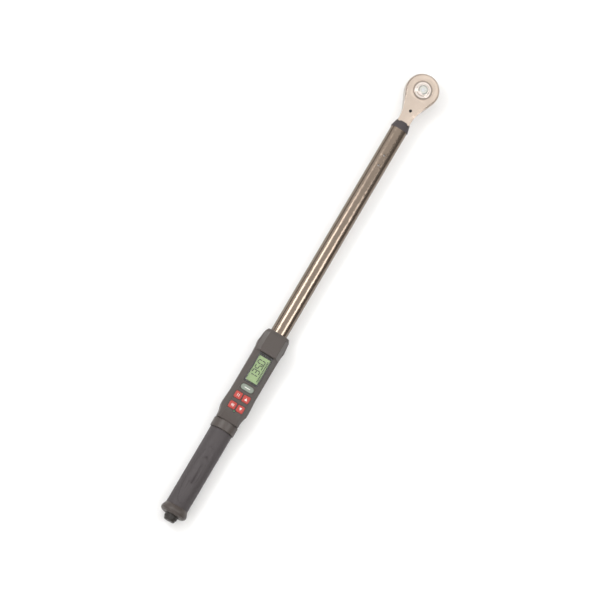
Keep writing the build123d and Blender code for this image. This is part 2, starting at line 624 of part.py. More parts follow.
with BuildPart() as steel_tube:
    with BuildSketch(across(TUBE_FRONT_X)):
        Ellipse(TUBE_SEMI_Y, TUBE_SEMI_Z)
        Ellipse(TUBE_SEMI_Y - TUBE_WALL, TUBE_SEMI_Z - TUBE_WALL, mode=Mode.SUBTRACT)
    extrude(amount=TUBE_BACK_X - TUBE_FRONT_X)
    with BuildSketch(Plane.XY.offset(AXIS_Z)):
        with Locations(((CABLE_SLOT_FRONT_X + CABLE_SLOT_BACK_X) / 2, 0)):
            SlotOverall(CABLE_SLOT_FRONT_X - CABLE_SLOT_BACK_X, CABLE_SLOT_WIDTH)
    extrude(amount=15, mode=Mode.SUBTRACT)
    with BuildSketch(Plane.XY):
        with Locations(*[(x, 0) for x in TUBE_PIN_XS]):
            Circle(TUBE_PIN_RADIUS)
    extrude(amount=30, mode=Mode.SUBTRACT)
steel_tube.part.label = "steel_tube"
export_step(steel_tube.part, "parts/steel_tube.step")

with BuildPart() as tube_pins:
    for x in TUBE_PIN_XS:
        with BuildSketch(Plane(origin=(x, 0, AXIS_Z - TUBE_SEMI_Z + 0.3))):
            Circle(TUBE_PIN_RADIUS)
            Circle(1.4, mode=Mode.SUBTRACT)
        extrude(amount=2 * TUBE_SEMI_Z - 0.6)
tube_pins.part.label = "tube_pins"
export_step(tube_pins.part, "parts/tube_pins.step")

GAUGE_THICKNESS = 0.4
with BuildPart() as strain_gauges:
    for side in (1, -1):
        with BuildSketch(Plane(origin=(-82, side * BEAM_WAIST / 2, AXIS_Z), z_dir=(0, side, 0))):
            Rectangle(9, 5)
        extrude(amount=GAUGE_THICKNESS)
strain_gauges.part.label = "strain_gauges"
export_step(strain_gauges.part, "parts/strain_gauges.step")

# The gauge cable runs from beside the beam, past the block, and up through the slot to the board.
CABLE_RADIUS = 0.8
with BuildPart() as gauge_cable:
    with BuildLine() as cable_route:
        FilletPolyline(
            (-123.0, 0, 10.0),
            (-180.0, 0, 10.0),
            (-385.0, 0, 9.0),
            (-406.0, 0, 15.0),
            (-406.0, 0, 24.3),
            radius=4.0,
        )
    with BuildSketch(Plane(origin=cable_route.line @ 0, z_dir=cable_route.line % 0)):
        Circle(CABLE_RADIUS)
    sweep(path=cable_route.line)
gauge_cable.part.label = "gauge_cable"
export_step(gauge_cable.part, "parts/gauge_cable.step")

# ============================ HOUSING ========================================
HOUSING_PLAN = (
    (HOUSING_FRONT_X, 15.5),
    (-382.0, 17.65),
    (-397.0, 19.35),
    (-404.0, 18.25),
    (-413.0, 17.8),
    (-470.0, 17.8),
    (-486.0, 18.9),
    (-494.0, 18.9),
    (-499.0, 17.3),
    (-504.0, 16.15),
    (HOUSING_BACK_X, 15.9),
)
housing_length = HOUSING_FRONT_X - HOUSING_BACK_X
deck_half = DECK_WIDTH / 2
hood_half = HOOD_WIDTH / 2


def housing_form(inset):
    """Solid of the housing's outside, drawn in by an inset; the hood stands on its front end."""
    top = DECK_Z - inset
    with BuildPart() as form:
        with BuildSketch(Plane.XY.offset(HOUSING_BOTTOM_Z - 5)):
            with BuildLine():
                Polyline(*HOUSING_PLAN, *[(x, -y) for x, y in reversed(HOUSING_PLAN)], close=True)
            make_face()
            if inset:
                offset(amount=-inset)
        extrude(amount=60)
        with BuildSketch(across(HOUSING_FRONT_X)) as section:
            with BuildLine():
                Polyline(
                    (deck_half, DECK_Z - AXIS_Z),
                    (deck_half + 5.6, SHOULDER_Z - AXIS_Z),
                    (20.0, SHOULDER_Z - 5.0 - AXIS_Z),
                    (20.0, 3.0 - AXIS_Z),
                    (12.0, HOUSING_BOTTOM_Z - AXIS_Z),
                    (-12.0, HOUSING_BOTTOM_Z - AXIS_Z),
                    (-20.0, 3.0 - AXIS_Z),
                    (-20.0, SHOULDER_Z - 5.0 - AXIS_Z),
                    (-deck_half - 5.6, SHOULDER_Z - AXIS_Z),
                    (-deck_half, DECK_Z - AXIS_Z),
                    close=True,
                )
            make_face()
            if inset:
                offset(amount=-inset)
        extrude(amount=-housing_length, mode=Mode.INTERSECT)
        with BuildSketch(Plane.XZ):
            with BuildLine():
                Polyline(
                    (HOUSING_STEP_X, top),
                    (HOUSING_STEP_X, top + 10 * TOOL_OVERCUT),
                    (GRIP_FRONT_X, top + 10 * TOOL_OVERCUT),
                    (GRIP_FRONT_X, HOUSING_TAIL_Z - inset),
                    (HOUSING_BACK_X, HOUSING_TAIL_Z - inset),
                    close=True,
                )
            make_face()
        extrude(amount=40, both=True, mode=Mode.SUBTRACT)
        with BuildSketch(across(HOUSING_FRONT_X - 5.0 - inset)) as hood_section:
            with BuildLine():
                Polyline(
                    (hood_half - inset * 0.6, HOOD_Z - inset - AXIS_Z),
                    (17.2 - inset, SHOULDER_Z - AXIS_Z),
                    (-17.2 + inset, SHOULDER_Z - AXIS_Z),
                    (-hood_half + inset * 0.6, HOOD_Z - inset - AXIS_Z),
                    close=True,
                )
            make_face()
        extrude(amount=HOOD_BACK_X - HOUSING_FRONT_X + 5.0 + 2 * inset)
    return form.part


# --- Display and keypad places on the deck ----------------------------------
BEZEL_FRONT_X = -410.5
BEZEL_BACK_X = -455.0
BEZEL_WIDTH = 20.6
WINDOW_WIDTH = 18.6
WINDOW_FRONT_X = -412.0
WINDOW_BACK_X = -453.5
WINDOW_THICKNESS = 1.7
LCD_FRONT_X = -414.5
LCD_BACK_X = -452.0
LCD_WIDTH = 17.6
LCD_TOP_Z = 29.6
LCD_THICKNESS = 1.8
BOARD_BOTTOM_Z = 24.5
BOARD_THICKNESS = 1.6
BOARD_FRONT_X = -404.0
BOARD_BACK_X = -500.0
BOARD_WIDTH = 21.0
BOARD_SCREW_POINTS = ((-407.5, 8.2), (-407.5, -8.2), (-498.3, 8.2), (-498.3, -8.2))
KEY_X_FRONT = -475.5
KEY_X_BACK = -490.5
KEY_Y = 5.9
KEY_LENGTH = 9.6
KEY_WIDTH = 10.0
ENTER_X = -462.0
ENTER_LENGTH = 8.0
ENTER_WIDTH = 18.0
KEY_TOP_Z = 33.0
KEY_TRAVEL = 0.7
KEY_FLANGE_TOP_Z = 29.5
KEY_FLANGE_BOTTOM_Z = 28.3
KEY_FLANGE_RIM = 0.5
KEY_GAP = 0.3
LAMP_X = -496.5
LAMP_RADIUS = 1.2
board_top_z = BOARD_BOTTOM_Z + BOARD_THICKNESS
buttons = {
    "enter_button": (ENTER_X, 0.0, ENTER_LENGTH, ENTER_WIDTH, 3.9),
    "up_button": (KEY_X_FRONT, -KEY_Y, KEY_LENGTH, KEY_WIDTH, 1.6),
    "down_button": (KEY_X_BACK, -KEY_Y, KEY_LENGTH, KEY_WIDTH, 1.6),
    "units_button": (KEY_X_FRONT, KEY_Y, KEY_LENGTH, KEY_WIDTH, 1.6),
    "menu_button": (KEY_X_BACK, KEY_Y, KEY_LENGTH, KEY_WIDTH, 1.6),
}
outer_form = housing_form(0)
inner_form = housing_form(HOUSING_WALL)
upper_seam_z = AXIS_Z + GASKET_HEIGHT / 2
lower_seam_z = AXIS_Z - GASKET_HEIGHT / 2
screw_points = [(x, side * HOUSING_SCREW_Y) for x in HOUSING_SCREW_XS for side in (1, -1)]
rib_points = (-386.0, -430.0, -468.0, -505.0)

with BuildPart() as housing_upper:
    add(outer_form)
    add(inner_form, mode=Mode.SUBTRACT)
    # bosses for the housing screws and, under the deck, for the board
    with BuildSketch(Plane.XY.offset(upper_seam_z)):
        with Locations(*screw_points):
            Circle(HOUSING_BOSS_RADIUS)
    extrude(amount=9.0)
    with BuildSketch(Plane.XY.offset(board_top_z)):
        with Locations(*BOARD_SCREW_POINTS):
            Circle(BOARD_BOSS_RADIUS)
    extrude(amount=DECK_Z - 1.0 - board_top_z)
    add(outer_form, mode=Mode.INTERSECT)
    with BuildSketch(across(HOUSING_FRONT_X + 1)):
        Ellipse(TUBE_SEMI_Y + HOUSING_TUBE_GAP, TUBE_SEMI_Z + HOUSING_TUBE_GAP)
    extrude(amount=-housing_length - 2, mode=Mode.SUBTRACT)
    split(bisect_by=Plane.XY.offset(upper_seam_z), keep=Keep.TOP)
    with BuildSketch(Plane.XY.offset(upper_seam_z)):
        with Locations(*screw_points):
            Circle(1.25)
    extrude(amount=7.5, mode=Mode.SUBTRACT)
    with BuildSketch(Plane.XY.offset(board_top_z)):
        with Locations(*BOARD_SCREW_POINTS):
            Circle(0.8)
    extrude(amount=3.2, mode=Mode.SUBTRACT)
    # openings for the bezel, the keys and the lamp
    with BuildSketch(Plane.XY.offset(DECK_Z - 5)):
        with Locations(((BEZEL_FRONT_X + BEZEL_BACK_X) / 2, 0)):
            RectangleRounded(BEZEL_FRONT_X - BEZEL_BACK_X, BEZEL_WIDTH, 1.5)
        for x, y, length, width, corner in buttons.values():
            with Locations((x, y)):
                RectangleRounded(length + 2 * KEY_GAP, width + 2 * KEY_GAP, corner)
        with Locations((LAMP_X, 0)):
            Circle(LAMP_RADIUS + SEAT_GAP)
    extrude(amount=10, mode=Mode.SUBTRACT)
housing_upper.part.label = "housing_upper"
export_step(housing_upper.part, "parts/housing_upper.step")

HEAD_DEPTH = 1.8
screw_head_z = 1.4
with BuildPart() as housing_lower:
    add(outer_form)
    add(inner_form, mode=Mode.SUBTRACT)
    with BuildSketch(Plane.XY.offset(HOUSING_BOTTOM_Z)):
        with Locations(*screw_points):
            Circle(HOUSING_BOSS_RADIUS)
        with Locations(*[(x, 0) for x in rib_points]):
            Rectangle(2.0, 2 * TUBE_SEMI_Y)
    extrude(amount=AXIS_Z - HOUSING_BOTTOM_Z)
    add(outer_form, mode=Mode.INTERSECT)
    with BuildSketch(across(HOUSING_FRONT_X + 1)):
        Ellipse(TUBE_SEMI_Y + HOUSING_TUBE_GAP, TUBE_SEMI_Z + HOUSING_TUBE_GAP)
    extrude(amount=-housing_length - 2, mode=Mode.SUBTRACT)
    split(bisect_by=Plane.XY.offset(lower_seam_z), keep=Keep.BOTTOM)
    with BuildSketch(Plane.XY.offset(HOUSING_BOTTOM_Z)):
        with Locations(*screw_points):
            Circle(2.2)
    extrude(amount=screw_head_z + HEAD_DEPTH - HOUSING_BOTTOM_Z, mode=Mode.SUBTRACT)
    with BuildSketch(Plane.XY.offset(HOUSING_BOTTOM_Z)):
        with Locations(*screw_points):
            Circle(1.4)
    extrude(amount=20, mode=Mode.SUBTRACT)
housing_lower.part.label = "housing_lower"
export_step(housing_lower.part, "parts/housing_lower.step")

with BuildPart() as housing_gasket:
    with BuildSketch(Plane.XY.offset(lower_seam_z)) as gasket_sketch:
        with BuildLine():
            Polyline(*HOUSING_PLAN, *[(x, -y) for x, y in reversed(HOUSING_PLAN)], close=True)
        make_face()
        offset(amount=-0.3)
        offset(amount=-HOUSING_WALL + 0.6, mode=Mode.SUBTRACT)
        with Locations(((HOUSING_FRONT_X + HOUSING_BACK_X) / 2, 0)):
            Rectangle(housing_length + 5, 2 * TUBE_SEMI_Y + 0.6, mode=Mode.SUBTRACT)
        with Locations(*screw_points):
            Circle(1.4, mode=Mode.SUBTRACT)
    extrude(amount=GASKET_HEIGHT)
housing_gasket.part.label = "housing_gasket"
export_step(housing_gasket.part, "parts/housing_gasket.step")

with BuildPart() as housing_screws:
    with BuildSketch(Plane.XY.offset(screw_head_z)):
        with Locations(*screw_points):
            Circle(2.1)
    extrude(amount=HEAD_DEPTH)
    with BuildSketch(Plane.XY.offset(screw_head_z)):
        with Locations(*screw_points):
            Circle(1.2)
    extrude(amount=16.5)
    with BuildSketch(Plane.XY.offset(screw_head_z)):
        with Locations(*screw_points):
            RegularPolygon(radius=1.1, side_count=6)
    extrude(amount=1.1, mode=Mode.SUBTRACT)
housing_screws.part.label = "housing_screws"
export_step(housing_screws.part, "parts/housing_screws.step")

# --- Display stack ----------------------------------------------------------
bezel_x = (BEZEL_FRONT_X + BEZEL_BACK_X) / 2
window_x = (WINDOW_FRONT_X + WINDOW_BACK_X) / 2
lcd_x = (LCD_FRONT_X + LCD_BACK_X) / 2
window_bottom_z = DECK_Z - WINDOW_THICKNESS
with BuildPart() as display_bezel:
    with BuildSketch(Plane.XY.offset(LCD_TOP_Z + 0.05)):
        with Locations((bezel_x, 0)):
            RectangleRounded(BEZEL_FRONT_X - BEZEL_BACK_X - 0.1, BEZEL_WIDTH - 0.1, 1.5)
    extrude(amount=DECK_Z + 0.3 - LCD_TOP_Z - 0.05)
    with BuildSketch(Plane.XY.offset(LCD_TOP_Z - 1)):
        with Locations((lcd_x, 0)):
            Rectangle(LCD_FRONT_X - LCD_BACK_X - 1.0, LCD_WIDTH - 1.0)
    extrude(amount=5, mode=Mode.SUBTRACT)
    with BuildSketch(Plane.XY.offset(window_bottom_z)):
        with Locations((window_x, 0)):
            RectangleRounded(WINDOW_FRONT_X - WINDOW_BACK_X + 0.1, WINDOW_WIDTH + 0.1, 1.0)
    extrude(amount=5, mode=Mode.SUBTRACT)
display_bezel.part.label = "display_bezel"
export_step(display_bezel.part, "parts/display_bezel.step")

with BuildPart() as display_window:
    with BuildSketch(Plane.XY.offset(window_bottom_z)):
        with Locations((window_x, 0)):
            RectangleRounded(WINDOW_FRONT_X - WINDOW_BACK_X, WINDOW_WIDTH, 1.0)
    extrude(amount=WINDOW_THICKNESS)
display_window.part.label = "display_window"
export_step(display_window.part, "parts/display_window.step")

with BuildPart() as lcd_glass:
    with BuildSketch(Plane.XY.offset(LCD_TOP_Z - LCD_THICKNESS)):
        with Locations((lcd_x, 0)):
            Rectangle(LCD_FRONT_X - LCD_BACK_X, LCD_WIDTH)
    extrude(amount=LCD_THICKNESS)
lcd_glass.part.label = "lcd_glass"
export_step(lcd_glass.part, "parts/lcd_glass.step")

with BuildPart() as lcd_frame:
    with BuildSketch(Plane.XY.offset(board_top_z)):
        with Locations((lcd_x, 0)):
            Rectangle(LCD_FRONT_X - LCD_BACK_X, LCD_WIDTH)
            Rectangle(LCD_FRONT_X - LCD_BACK_X - 3, LCD_WIDTH - 3, mode=Mode.SUBTRACT)
    extrude(amount=LCD_TOP_Z - LCD_THICKNESS - board_top_z)
lcd_frame.part.label = "lcd_frame"
export_step(lcd_frame.part, "parts/lcd_frame.step")

with BuildPart() as circuit_board:
    with BuildSketch(Plane.XY.offset(BOARD_BOTTOM_Z)):
        with Locations(((BOARD_FRONT_X + BOARD_BACK_X) / 2, 0)):
            Rectangle(BOARD_FRONT_X - BOARD_BACK_X, BOARD_WIDTH)
        with Locations(*BOARD_SCREW_POINTS):
            Circle(0.95, mode=Mode.SUBTRACT)
    extrude(amount=BOARD_THICKNESS)
circuit_board.part.label = "circuit_board"
export_step(circuit_board.part, "parts/circuit_board.step")

with BuildPart() as board_screws:
    with BuildSketch(Plane.XY.offset(BOARD_BOTTOM_Z - 1.0)):
        with Locations(*BOARD_SCREW_POINTS):
            Circle(1.6)
    extrude(amount=1.0)
    with BuildSketch(Plane.XY.offset(BOARD_BOTTOM_Z)):
        with Locations(*BOARD_SCREW_POINTS):
            Circle(0.75)
    extrude(amount=4.4)
board_screws.part.label = "board_screws"
export_step(board_screws.part, "parts/board_screws.step")

with BuildPart() as board_chips:
    with BuildSketch(Plane.XY.offset(BOARD_BOTTOM_Z)):
        with Locations((-432.0, 0)):
            Rectangle(9, 9)
        with Locations((-446.0, 3)):
            Rectangle(5, 4)
        with Locations((-420.0, -5)):
            Rectangle(4, 3)
    extrude(amount=-1.2)
board_chips.part.label = "board_chips"
export_step(board_chips.part, "parts/board_chips.step")

BUZZER_RADIUS = 4.5
BUZZER_HEIGHT = 1.8
with BuildPart() as buzzer:
    with BuildSketch(Plane.XY.offset(BOARD_BOTTOM_Z - BUZZER_HEIGHT)):
        with Locations((-482.0, 0)):
            Circle(BUZZER_RADIUS)
    extrude(amount=BUZZER_HEIGHT)
buzzer.part.label = "buzzer"
export_step(buzzer.part, "parts/buzzer.step")

key_gap_to_dome = 0.1
dome_top_z = KEY_FLANGE_BOTTOM_Z - KEY_TRAVEL - key_gap_to_dome
with BuildPart() as dome_switches:
    with BuildSketch(Plane.XY.offset(board_top_z)):
        for x, y, _length, _width, _corner in buttons.values():
            with Locations((x, y)):
                Circle(2.5)
    extrude(amount=dome_top_z - board_top_z, taper=20)
dome_switches.part.label = "dome_switches"
export_step(dome_switches.part, "parts/dome_switches.step")

for name, (x, y, length, width, corner) in buttons.items():
    with BuildPart() as button:
        with BuildSketch(Plane.XY.offset(KEY_FLANGE_BOTTOM_Z)):
            with Locations((x, y)):
                RectangleRounded(length + 2 * KEY_FLANGE_RIM, width - 2.0, corner)
        extrude(amount=KEY_FLANGE_TOP_Z - KEY_FLANGE_BOTTOM_Z)
        with BuildSketch(Plane.XY.offset(KEY_FLANGE_TOP_Z)):
            with Locations((x, y)):
                RectangleRounded(length, width, corner)
        extrude(amount=KEY_TOP_Z - KEY_FLANGE_TOP_Z)
        fillet(button.faces().sort_by(Axis.Z)[-1].edges(), radius=0.6)
    button.part.label = name
    export_step(button.part, f"parts/{name}.step")

with BuildPart() as status_lamp:
    with BuildSketch(Plane.XY.offset(board_top_z)):
        with Locations((LAMP_X, 0)):
            Circle(LAMP_RADIUS)
    extrude(amount=DECK_Z - board_top_z)
status_lamp.part.label = "status_lamp"
export_step(status_lamp.part, "parts/status_lamp.step")

# ============================ HANDLE =========================================
RING_RADIUS = 17.2
RING_BACK_X = -525.0
CORE_RADIUS = 13.1
GRIP_RADIUS = 15.7
PAD_FRONT_X = -565.0
PAD_BACK_X = -607.0
PAD_WIDTH = 14.0
PAD_FLOOR_Z = AXIS_Z + 14.8
RIB_WIDTH = 4.0
RIB_LENGTH = 28.0
RIB_X = -590.0
RIB_Y = 3.4
FLANGE_RADIUS = 18.45
CAP_NECK_RADIUS = 8.2
CAP_NECK_FRONT_X = -645.0
CAP_STEM_RADIUS = 3.0
BATTERY_RADIUS = 7.1
BATTERY_LENGTH = 50.5
BATTERY_FRONT_X = -531.0
BATTERY_PIP = 1.0
handle_axis = Axis((0, 0, AXIS_Z), (1, 0, 0))
profile_plane = Plane(origin=(0, 0, AXIS_Z), x_dir=(1, 0, 0), z_dir=(0, -1, 0))

with BuildPart() as handle_core:
    with BuildSketch(across(HOUSING_BACK_X - 1.5)):
        Circle(CORE_RADIUS)
        Ellipse(TUBE_SEMI_Y + SEAT_GAP, TUBE_SEMI_Z + SEAT_GAP, mode=Mode.SUBTRACT)
    extrude(amount=GRIP_BACK_X - HOUSING_BACK_X + 1.5)
handle_core.part.label = "handle_core"
export_step(handle_core.part, "parts/handle_core.step")

with BuildPart() as grip_ring:
    with BuildSketch(across(HOUSING_BACK_X - SEAT_GAP)):
        Circle(RING_RADIUS)
    extrude(amount=RING_BACK_X - HOUSING_BACK_X + SEAT_GAP)
    fillet(grip_ring.edges().filter_by(GeomType.CIRCLE), radius=1.0)
    with BuildSketch(across(HOUSING_BACK_X)):
        Circle(CORE_RADIUS + SEAT_GAP)
    extrude(amount=RING_BACK_X - HOUSING_BACK_X - 1, mode=Mode.SUBTRACT)
grip_ring.part.label = "grip_ring"
export_step(grip_ring.part, "parts/grip_ring.step")

with BuildPart() as rubber_grip:
    with BuildSketch(across(RING_BACK_X - SEAT_GAP)):
        Circle(GRIP_RADIUS - 0.9)
    extrude(amount=GRIP_FRONT_X - RING_BACK_X)
    with BuildSketch(across(GRIP_FRONT_X - SEAT_GAP)):
        Circle(GRIP_RADIUS)
    extrude(amount=GRIP_BACK_X - GRIP_FRONT_X + SEAT_GAP)
    with BuildSketch(Plane.XY.offset(PAD_FLOOR_Z)):
        with BuildLine():
            Polyline(
                (PAD_FRONT_X, 0),
                (PAD_FRONT_X - 8, PAD_WIDTH / 2),
                (PAD_BACK_X + 4, PAD_WIDTH / 2),
                (PAD_BACK_X, 0),
                (PAD_BACK_X + 4, -PAD_WIDTH / 2),
                (PAD_FRONT_X - 8, -PAD_WIDTH / 2),
                close=True,
            )
        make_face()
        with Locations((RIB_X, RIB_Y), (RIB_X, -RIB_Y)):
            SlotOverall(RIB_LENGTH, RIB_WIDTH, mode=Mode.SUBTRACT)
    extrude(amount=5, mode=Mode.SUBTRACT)
    with BuildSketch(across(RING_BACK_X)):
        Circle(CORE_RADIUS + SEAT_GAP)
    extrude(amount=GRIP_BACK_X - RING_BACK_X - 1, mode=Mode.SUBTRACT)
rubber_grip.part.label = "rubber_grip"
export_step(rubber_grip.part, "parts/rubber_grip.step")

cap_bore_radius = CAP_NECK_RADIUS + 0.1
flange_front_x = GRIP_BACK_X - SEAT_GAP
with BuildPart() as end_ring:
    with BuildSketch(profile_plane):
        with BuildLine():
            Polyline(
                (flange_front_x, cap_bore_radius),
                (flange_front_x, GRIP_RADIUS + 0.2),
                (-647.0, FLANGE_RADIUS),
                (-649.3, FLANGE_RADIUS),
                (-649.6, FLANGE_RADIUS - 0.7),
                (-650.4, FLANGE_RADIUS - 0.7),
                (-650.7, FLANGE_RADIUS - 0.3),
                (FLANGE_BACK_X, 15.4),
                (FLANGE_BACK_X, cap_bore_radius),
                close=True,
            )
        make_face()
    revolve(axis=handle_axis)
end_ring.part.label = "end_ring"
export_step(end_ring.part, "parts/end_ring.step")

cap_face_x = FLANGE_BACK_X - SEAT_GAP
with BuildPart() as battery_cap:
    with BuildSketch(profile_plane):
        with BuildLine():
            Polyline(
                (CAP_NECK_FRONT_X, 0),
                (CAP_NECK_FRONT_X, CAP_NECK_RADIUS),
                (-650.0, CAP_NECK_RADIUS),
                (-650.0, CAP_NECK_RADIUS - 1.0),
                (-651.6, CAP_NECK_RADIUS - 1.0),
                (-651.6, CAP_NECK_RADIUS),
                (cap_face_x, CAP_NECK_RADIUS),
                (cap_face_x, 9.5),
                (CAP_BACK_X + 0.8, 7.6),
                (CAP_BACK_X, 6.8),
                (CAP_BACK_X, 0),
                close=True,
            )
        make_face()
    revolve(axis=handle_axis)
    with BuildSketch(across(CAP_BACK_X)):
        Rectangle(13.0, 1.8)
    extrude(amount=2.0, mode=Mode.SUBTRACT)
    with BuildSketch(across(CAP_NECK_FRONT_X)):
        Circle(CAP_STEM_RADIUS + RUNNING_GAP)
    extrude(amount=-5.0, mode=Mode.SUBTRACT)
battery_cap.part.label = "battery_cap"
export_step(battery_cap.part, "parts/battery_cap.step")

with BuildPart() as cap_seal:
    with BuildSketch(across(-650.1)):
        Circle(CAP_NECK_RADIUS + 0.05)
        Circle(CAP_NECK_RADIUS - 0.95, mode=Mode.SUBTRACT)
    extrude(amount=-1.4)
cap_seal.part.label = "cap_seal"
export_step(cap_seal.part, "parts/cap_seal.step")

contact_front_x = CAP_NECK_FRONT_X + 0.9
with BuildPart() as cap_contact:
    with BuildSketch(across(contact_front_x)):
        Circle(6.4)
    extrude(amount=-0.8)
    with BuildSketch(across(contact_front_x)):
        Circle(CAP_STEM_RADIUS)
    extrude(amount=-5.0)
cap_contact.part.label = "cap_contact"
export_step(cap_contact.part, "parts/cap_contact.step")

battery_gap = 0.1
rear_battery_front_x = BATTERY_FRONT_X - BATTERY_LENGTH - battery_gap
for name, front_x in (("battery_front", BATTERY_FRONT_X), ("battery_rear", rear_battery_front_x)):
    with BuildPart() as battery:
        with BuildSketch(across(front_x)):
            Circle(2.6)
        extrude(amount=-BATTERY_PIP)
        with BuildSketch(across(front_x - BATTERY_PIP)):
            Circle(BATTERY_RADIUS)
        extrude(amount=BATTERY_PIP - BATTERY_LENGTH)
    battery.part.label = name
    export_step(battery.part, f"parts/{name}.step")

spring_back_x = contact_front_x + 0.4
spring_front_x = rear_battery_front_x - BATTERY_LENGTH - 0.4
with BuildPart() as battery_spring:
    with BuildLine() as battery_coil:
        Helix(
            pitch=2.2,
            height=spring_front_x - spring_back_x,
            radius=5.0,
            center=(spring_back_x, 0, AXIS_Z),
            direction=(1, 0, 0),
        )
    with BuildSketch(Plane(origin=battery_coil.line @ 0, z_dir=battery_coil.line % 0)):
        Circle(0.35)
    sweep(path=battery_coil.line, is_frenet=True)
battery_spring.part.label = "battery_spring"
export_step(battery_spring.part, "parts/battery_spring.step")

with BuildPart() as front_contact:
    with BuildSketch(across(BATTERY_FRONT_X + battery_gap)):
        Ellipse(TUBE_SEMI_Y - TUBE_WALL - 0.1, TUBE_SEMI_Z - TUBE_WALL - 0.1)
    extrude(amount=1.4)
front_contact.part.label = "front_contact"
export_step(front_contact.part, "parts/front_contact.step")

LEAD_RADIUS = 0.6
with BuildPart() as battery_leads:
    for side in (1, -1):
        lead_y = side * 1.2
        with BuildLine() as lead_line:
            FilletPolyline(
                (BATTERY_FRONT_X + 1.6, lead_y, AXIS_Z),
                (-409.0, lead_y, AXIS_Z),
                (-409.0, lead_y, BOARD_BOTTOM_Z - 0.1),
                radius=4.0,
            )
        with BuildSketch(Plane(origin=lead_line.line @ 0, z_dir=lead_line.line % 0)):
            Circle(LEAD_RADIUS)
        sweep(path=lead_line.line)
battery_leads.part.label = "battery_leads"
export_step(battery_leads.part, "parts/battery_leads.step")
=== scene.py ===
"""Looks of an electronic torque wrench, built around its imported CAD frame. Units are metres."""

import json
import logging
import math
from dataclasses import dataclass
from enum import Enum

import bmesh
import bpy
from mathutils import Matrix, Vector


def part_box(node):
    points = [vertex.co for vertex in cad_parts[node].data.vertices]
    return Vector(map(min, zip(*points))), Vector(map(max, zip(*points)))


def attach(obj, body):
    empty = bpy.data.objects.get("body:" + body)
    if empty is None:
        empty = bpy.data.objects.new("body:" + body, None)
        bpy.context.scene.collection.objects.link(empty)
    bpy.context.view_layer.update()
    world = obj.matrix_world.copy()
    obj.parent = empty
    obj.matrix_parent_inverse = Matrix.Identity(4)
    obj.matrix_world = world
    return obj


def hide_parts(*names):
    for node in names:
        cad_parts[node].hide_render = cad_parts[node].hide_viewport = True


logging.basicConfig(level=logging.INFO, format="%(message)s")
log = logging.getLogger("torque_wrench")
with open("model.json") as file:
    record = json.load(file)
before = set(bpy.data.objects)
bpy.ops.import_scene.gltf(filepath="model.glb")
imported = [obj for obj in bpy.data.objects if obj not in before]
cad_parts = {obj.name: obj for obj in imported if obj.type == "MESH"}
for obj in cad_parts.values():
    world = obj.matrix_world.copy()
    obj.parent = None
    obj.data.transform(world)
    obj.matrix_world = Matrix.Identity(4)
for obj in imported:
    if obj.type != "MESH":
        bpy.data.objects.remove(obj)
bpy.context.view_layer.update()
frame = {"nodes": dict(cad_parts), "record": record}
MM = 0.001
AXIS_Z = 12 * MM
MERGE_DISTANCE = 0.002 * MM
FULL_TURN_STEPS = 96


class Grain(Enum):
    """The way a surface was made, which sets the direction and stretch of its fine marks."""

    BRUSHED_LENGTHWISE = (0.02, 1.0, 1.0)
    TURNED = (1.0, 1.0, 0.08)
    EVEN = (1.0, 1.0, 1.0)


@dataclass(frozen=True)
class Finish:
    """One surface finish: its colour, gloss and fine grain."""

    name: str
    color: tuple[float, float, float]
    roughness: float
    metallic: float = 0.0
    grain: Grain = Grain.EVEN
    grain_size: float = 0.4 * MM
    bump: float = 0.05
    bump_depth: float = 0.03 * MM
    mottling: float = 0.15
    roughness_spread: float = 0.08
    coat: float = 0.0
    alpha: float = 1.0
    coat_roughness: float = 0.08
    lowest_roughness: float = 0.02
    grain_detail: float = 4.0
    mottle_scale: float = 45.0
    mottle_detail: float = 3.0

    def build(self) -> bpy.types.Material:
        """Builds the procedural material.

        Returns:
            The new material, patterned in Object coordinates.
        """
        material = bpy.data.materials.new(self.name)
        material.use_nodes = True
        tree = material.node_tree
        nodes, links = tree.nodes, tree.links
        shader = nodes["Principled BSDF"]
        shader.inputs["Metallic"].default_value = self.metallic
        shader.inputs["Coat Weight"].default_value = self.coat
        shader.inputs["Coat Roughness"].default_value = self.coat_roughness
        shader.inputs["Alpha"].default_value = self.alpha
        surface = nodes.new("ShaderNodeTexCoord")
        stretch = nodes.new("ShaderNodeMapping")
        stretch.inputs["Scale"].default_value = self.grain.value
        links.new(surface.outputs["Object"], stretch.inputs["Vector"])
        fine = nodes.new("ShaderNodeTexNoise")
        fine.inputs["Scale"].default_value = 1.0 / self.grain_size
        fine.inputs["Detail"].default_value = self.grain_detail
        links.new(stretch.outputs["Vector"], fine.inputs["Vector"])
        broad = nodes.new("ShaderNodeTexNoise")
        broad.inputs["Scale"].default_value = self.mottle_scale
        broad.inputs["Detail"].default_value = self.mottle_detail
        links.new(surface.outputs["Object"], broad.inputs["Vector"])
        tint = nodes.new("ShaderNodeMix")
        tint.data_type = "RGBA"
        dark = tuple(c * (1.0 - self.mottling) for c in self.color)
        tint.inputs["A"].default_value = (*dark, 1.0)
        tint.inputs["B"].default_value = (*self.color, 1.0)
        links.new(broad.outputs["Fac"], tint.inputs["Factor"])
        links.new(tint.outputs["Result"], shader.inputs["Base Color"])
        gloss = nodes.new("ShaderNodeMapRange")
        smoothest = max(self.lowest_roughness, self.roughness - self.roughness_spread)
        gloss.inputs["To Min"].default_value = smoothest
        gloss.inputs["To Max"].default_value = min(1.0, self.roughness + self.roughness_spread)
        links.new(fine.outputs["Fac"], gloss.inputs["Value"])
        links.new(gloss.outputs["Result"], shader.inputs["Roughness"])
        relief = nodes.new("ShaderNodeBump")
        relief.inputs["Strength"].default_value = self.bump
        relief.inputs["Distance"].default_value = self.bump_depth
        links.new(fine.outputs["Fac"], relief.inputs["Height"])
        links.new(relief.outputs["Normal"], shader.inputs["Normal"])
        return material


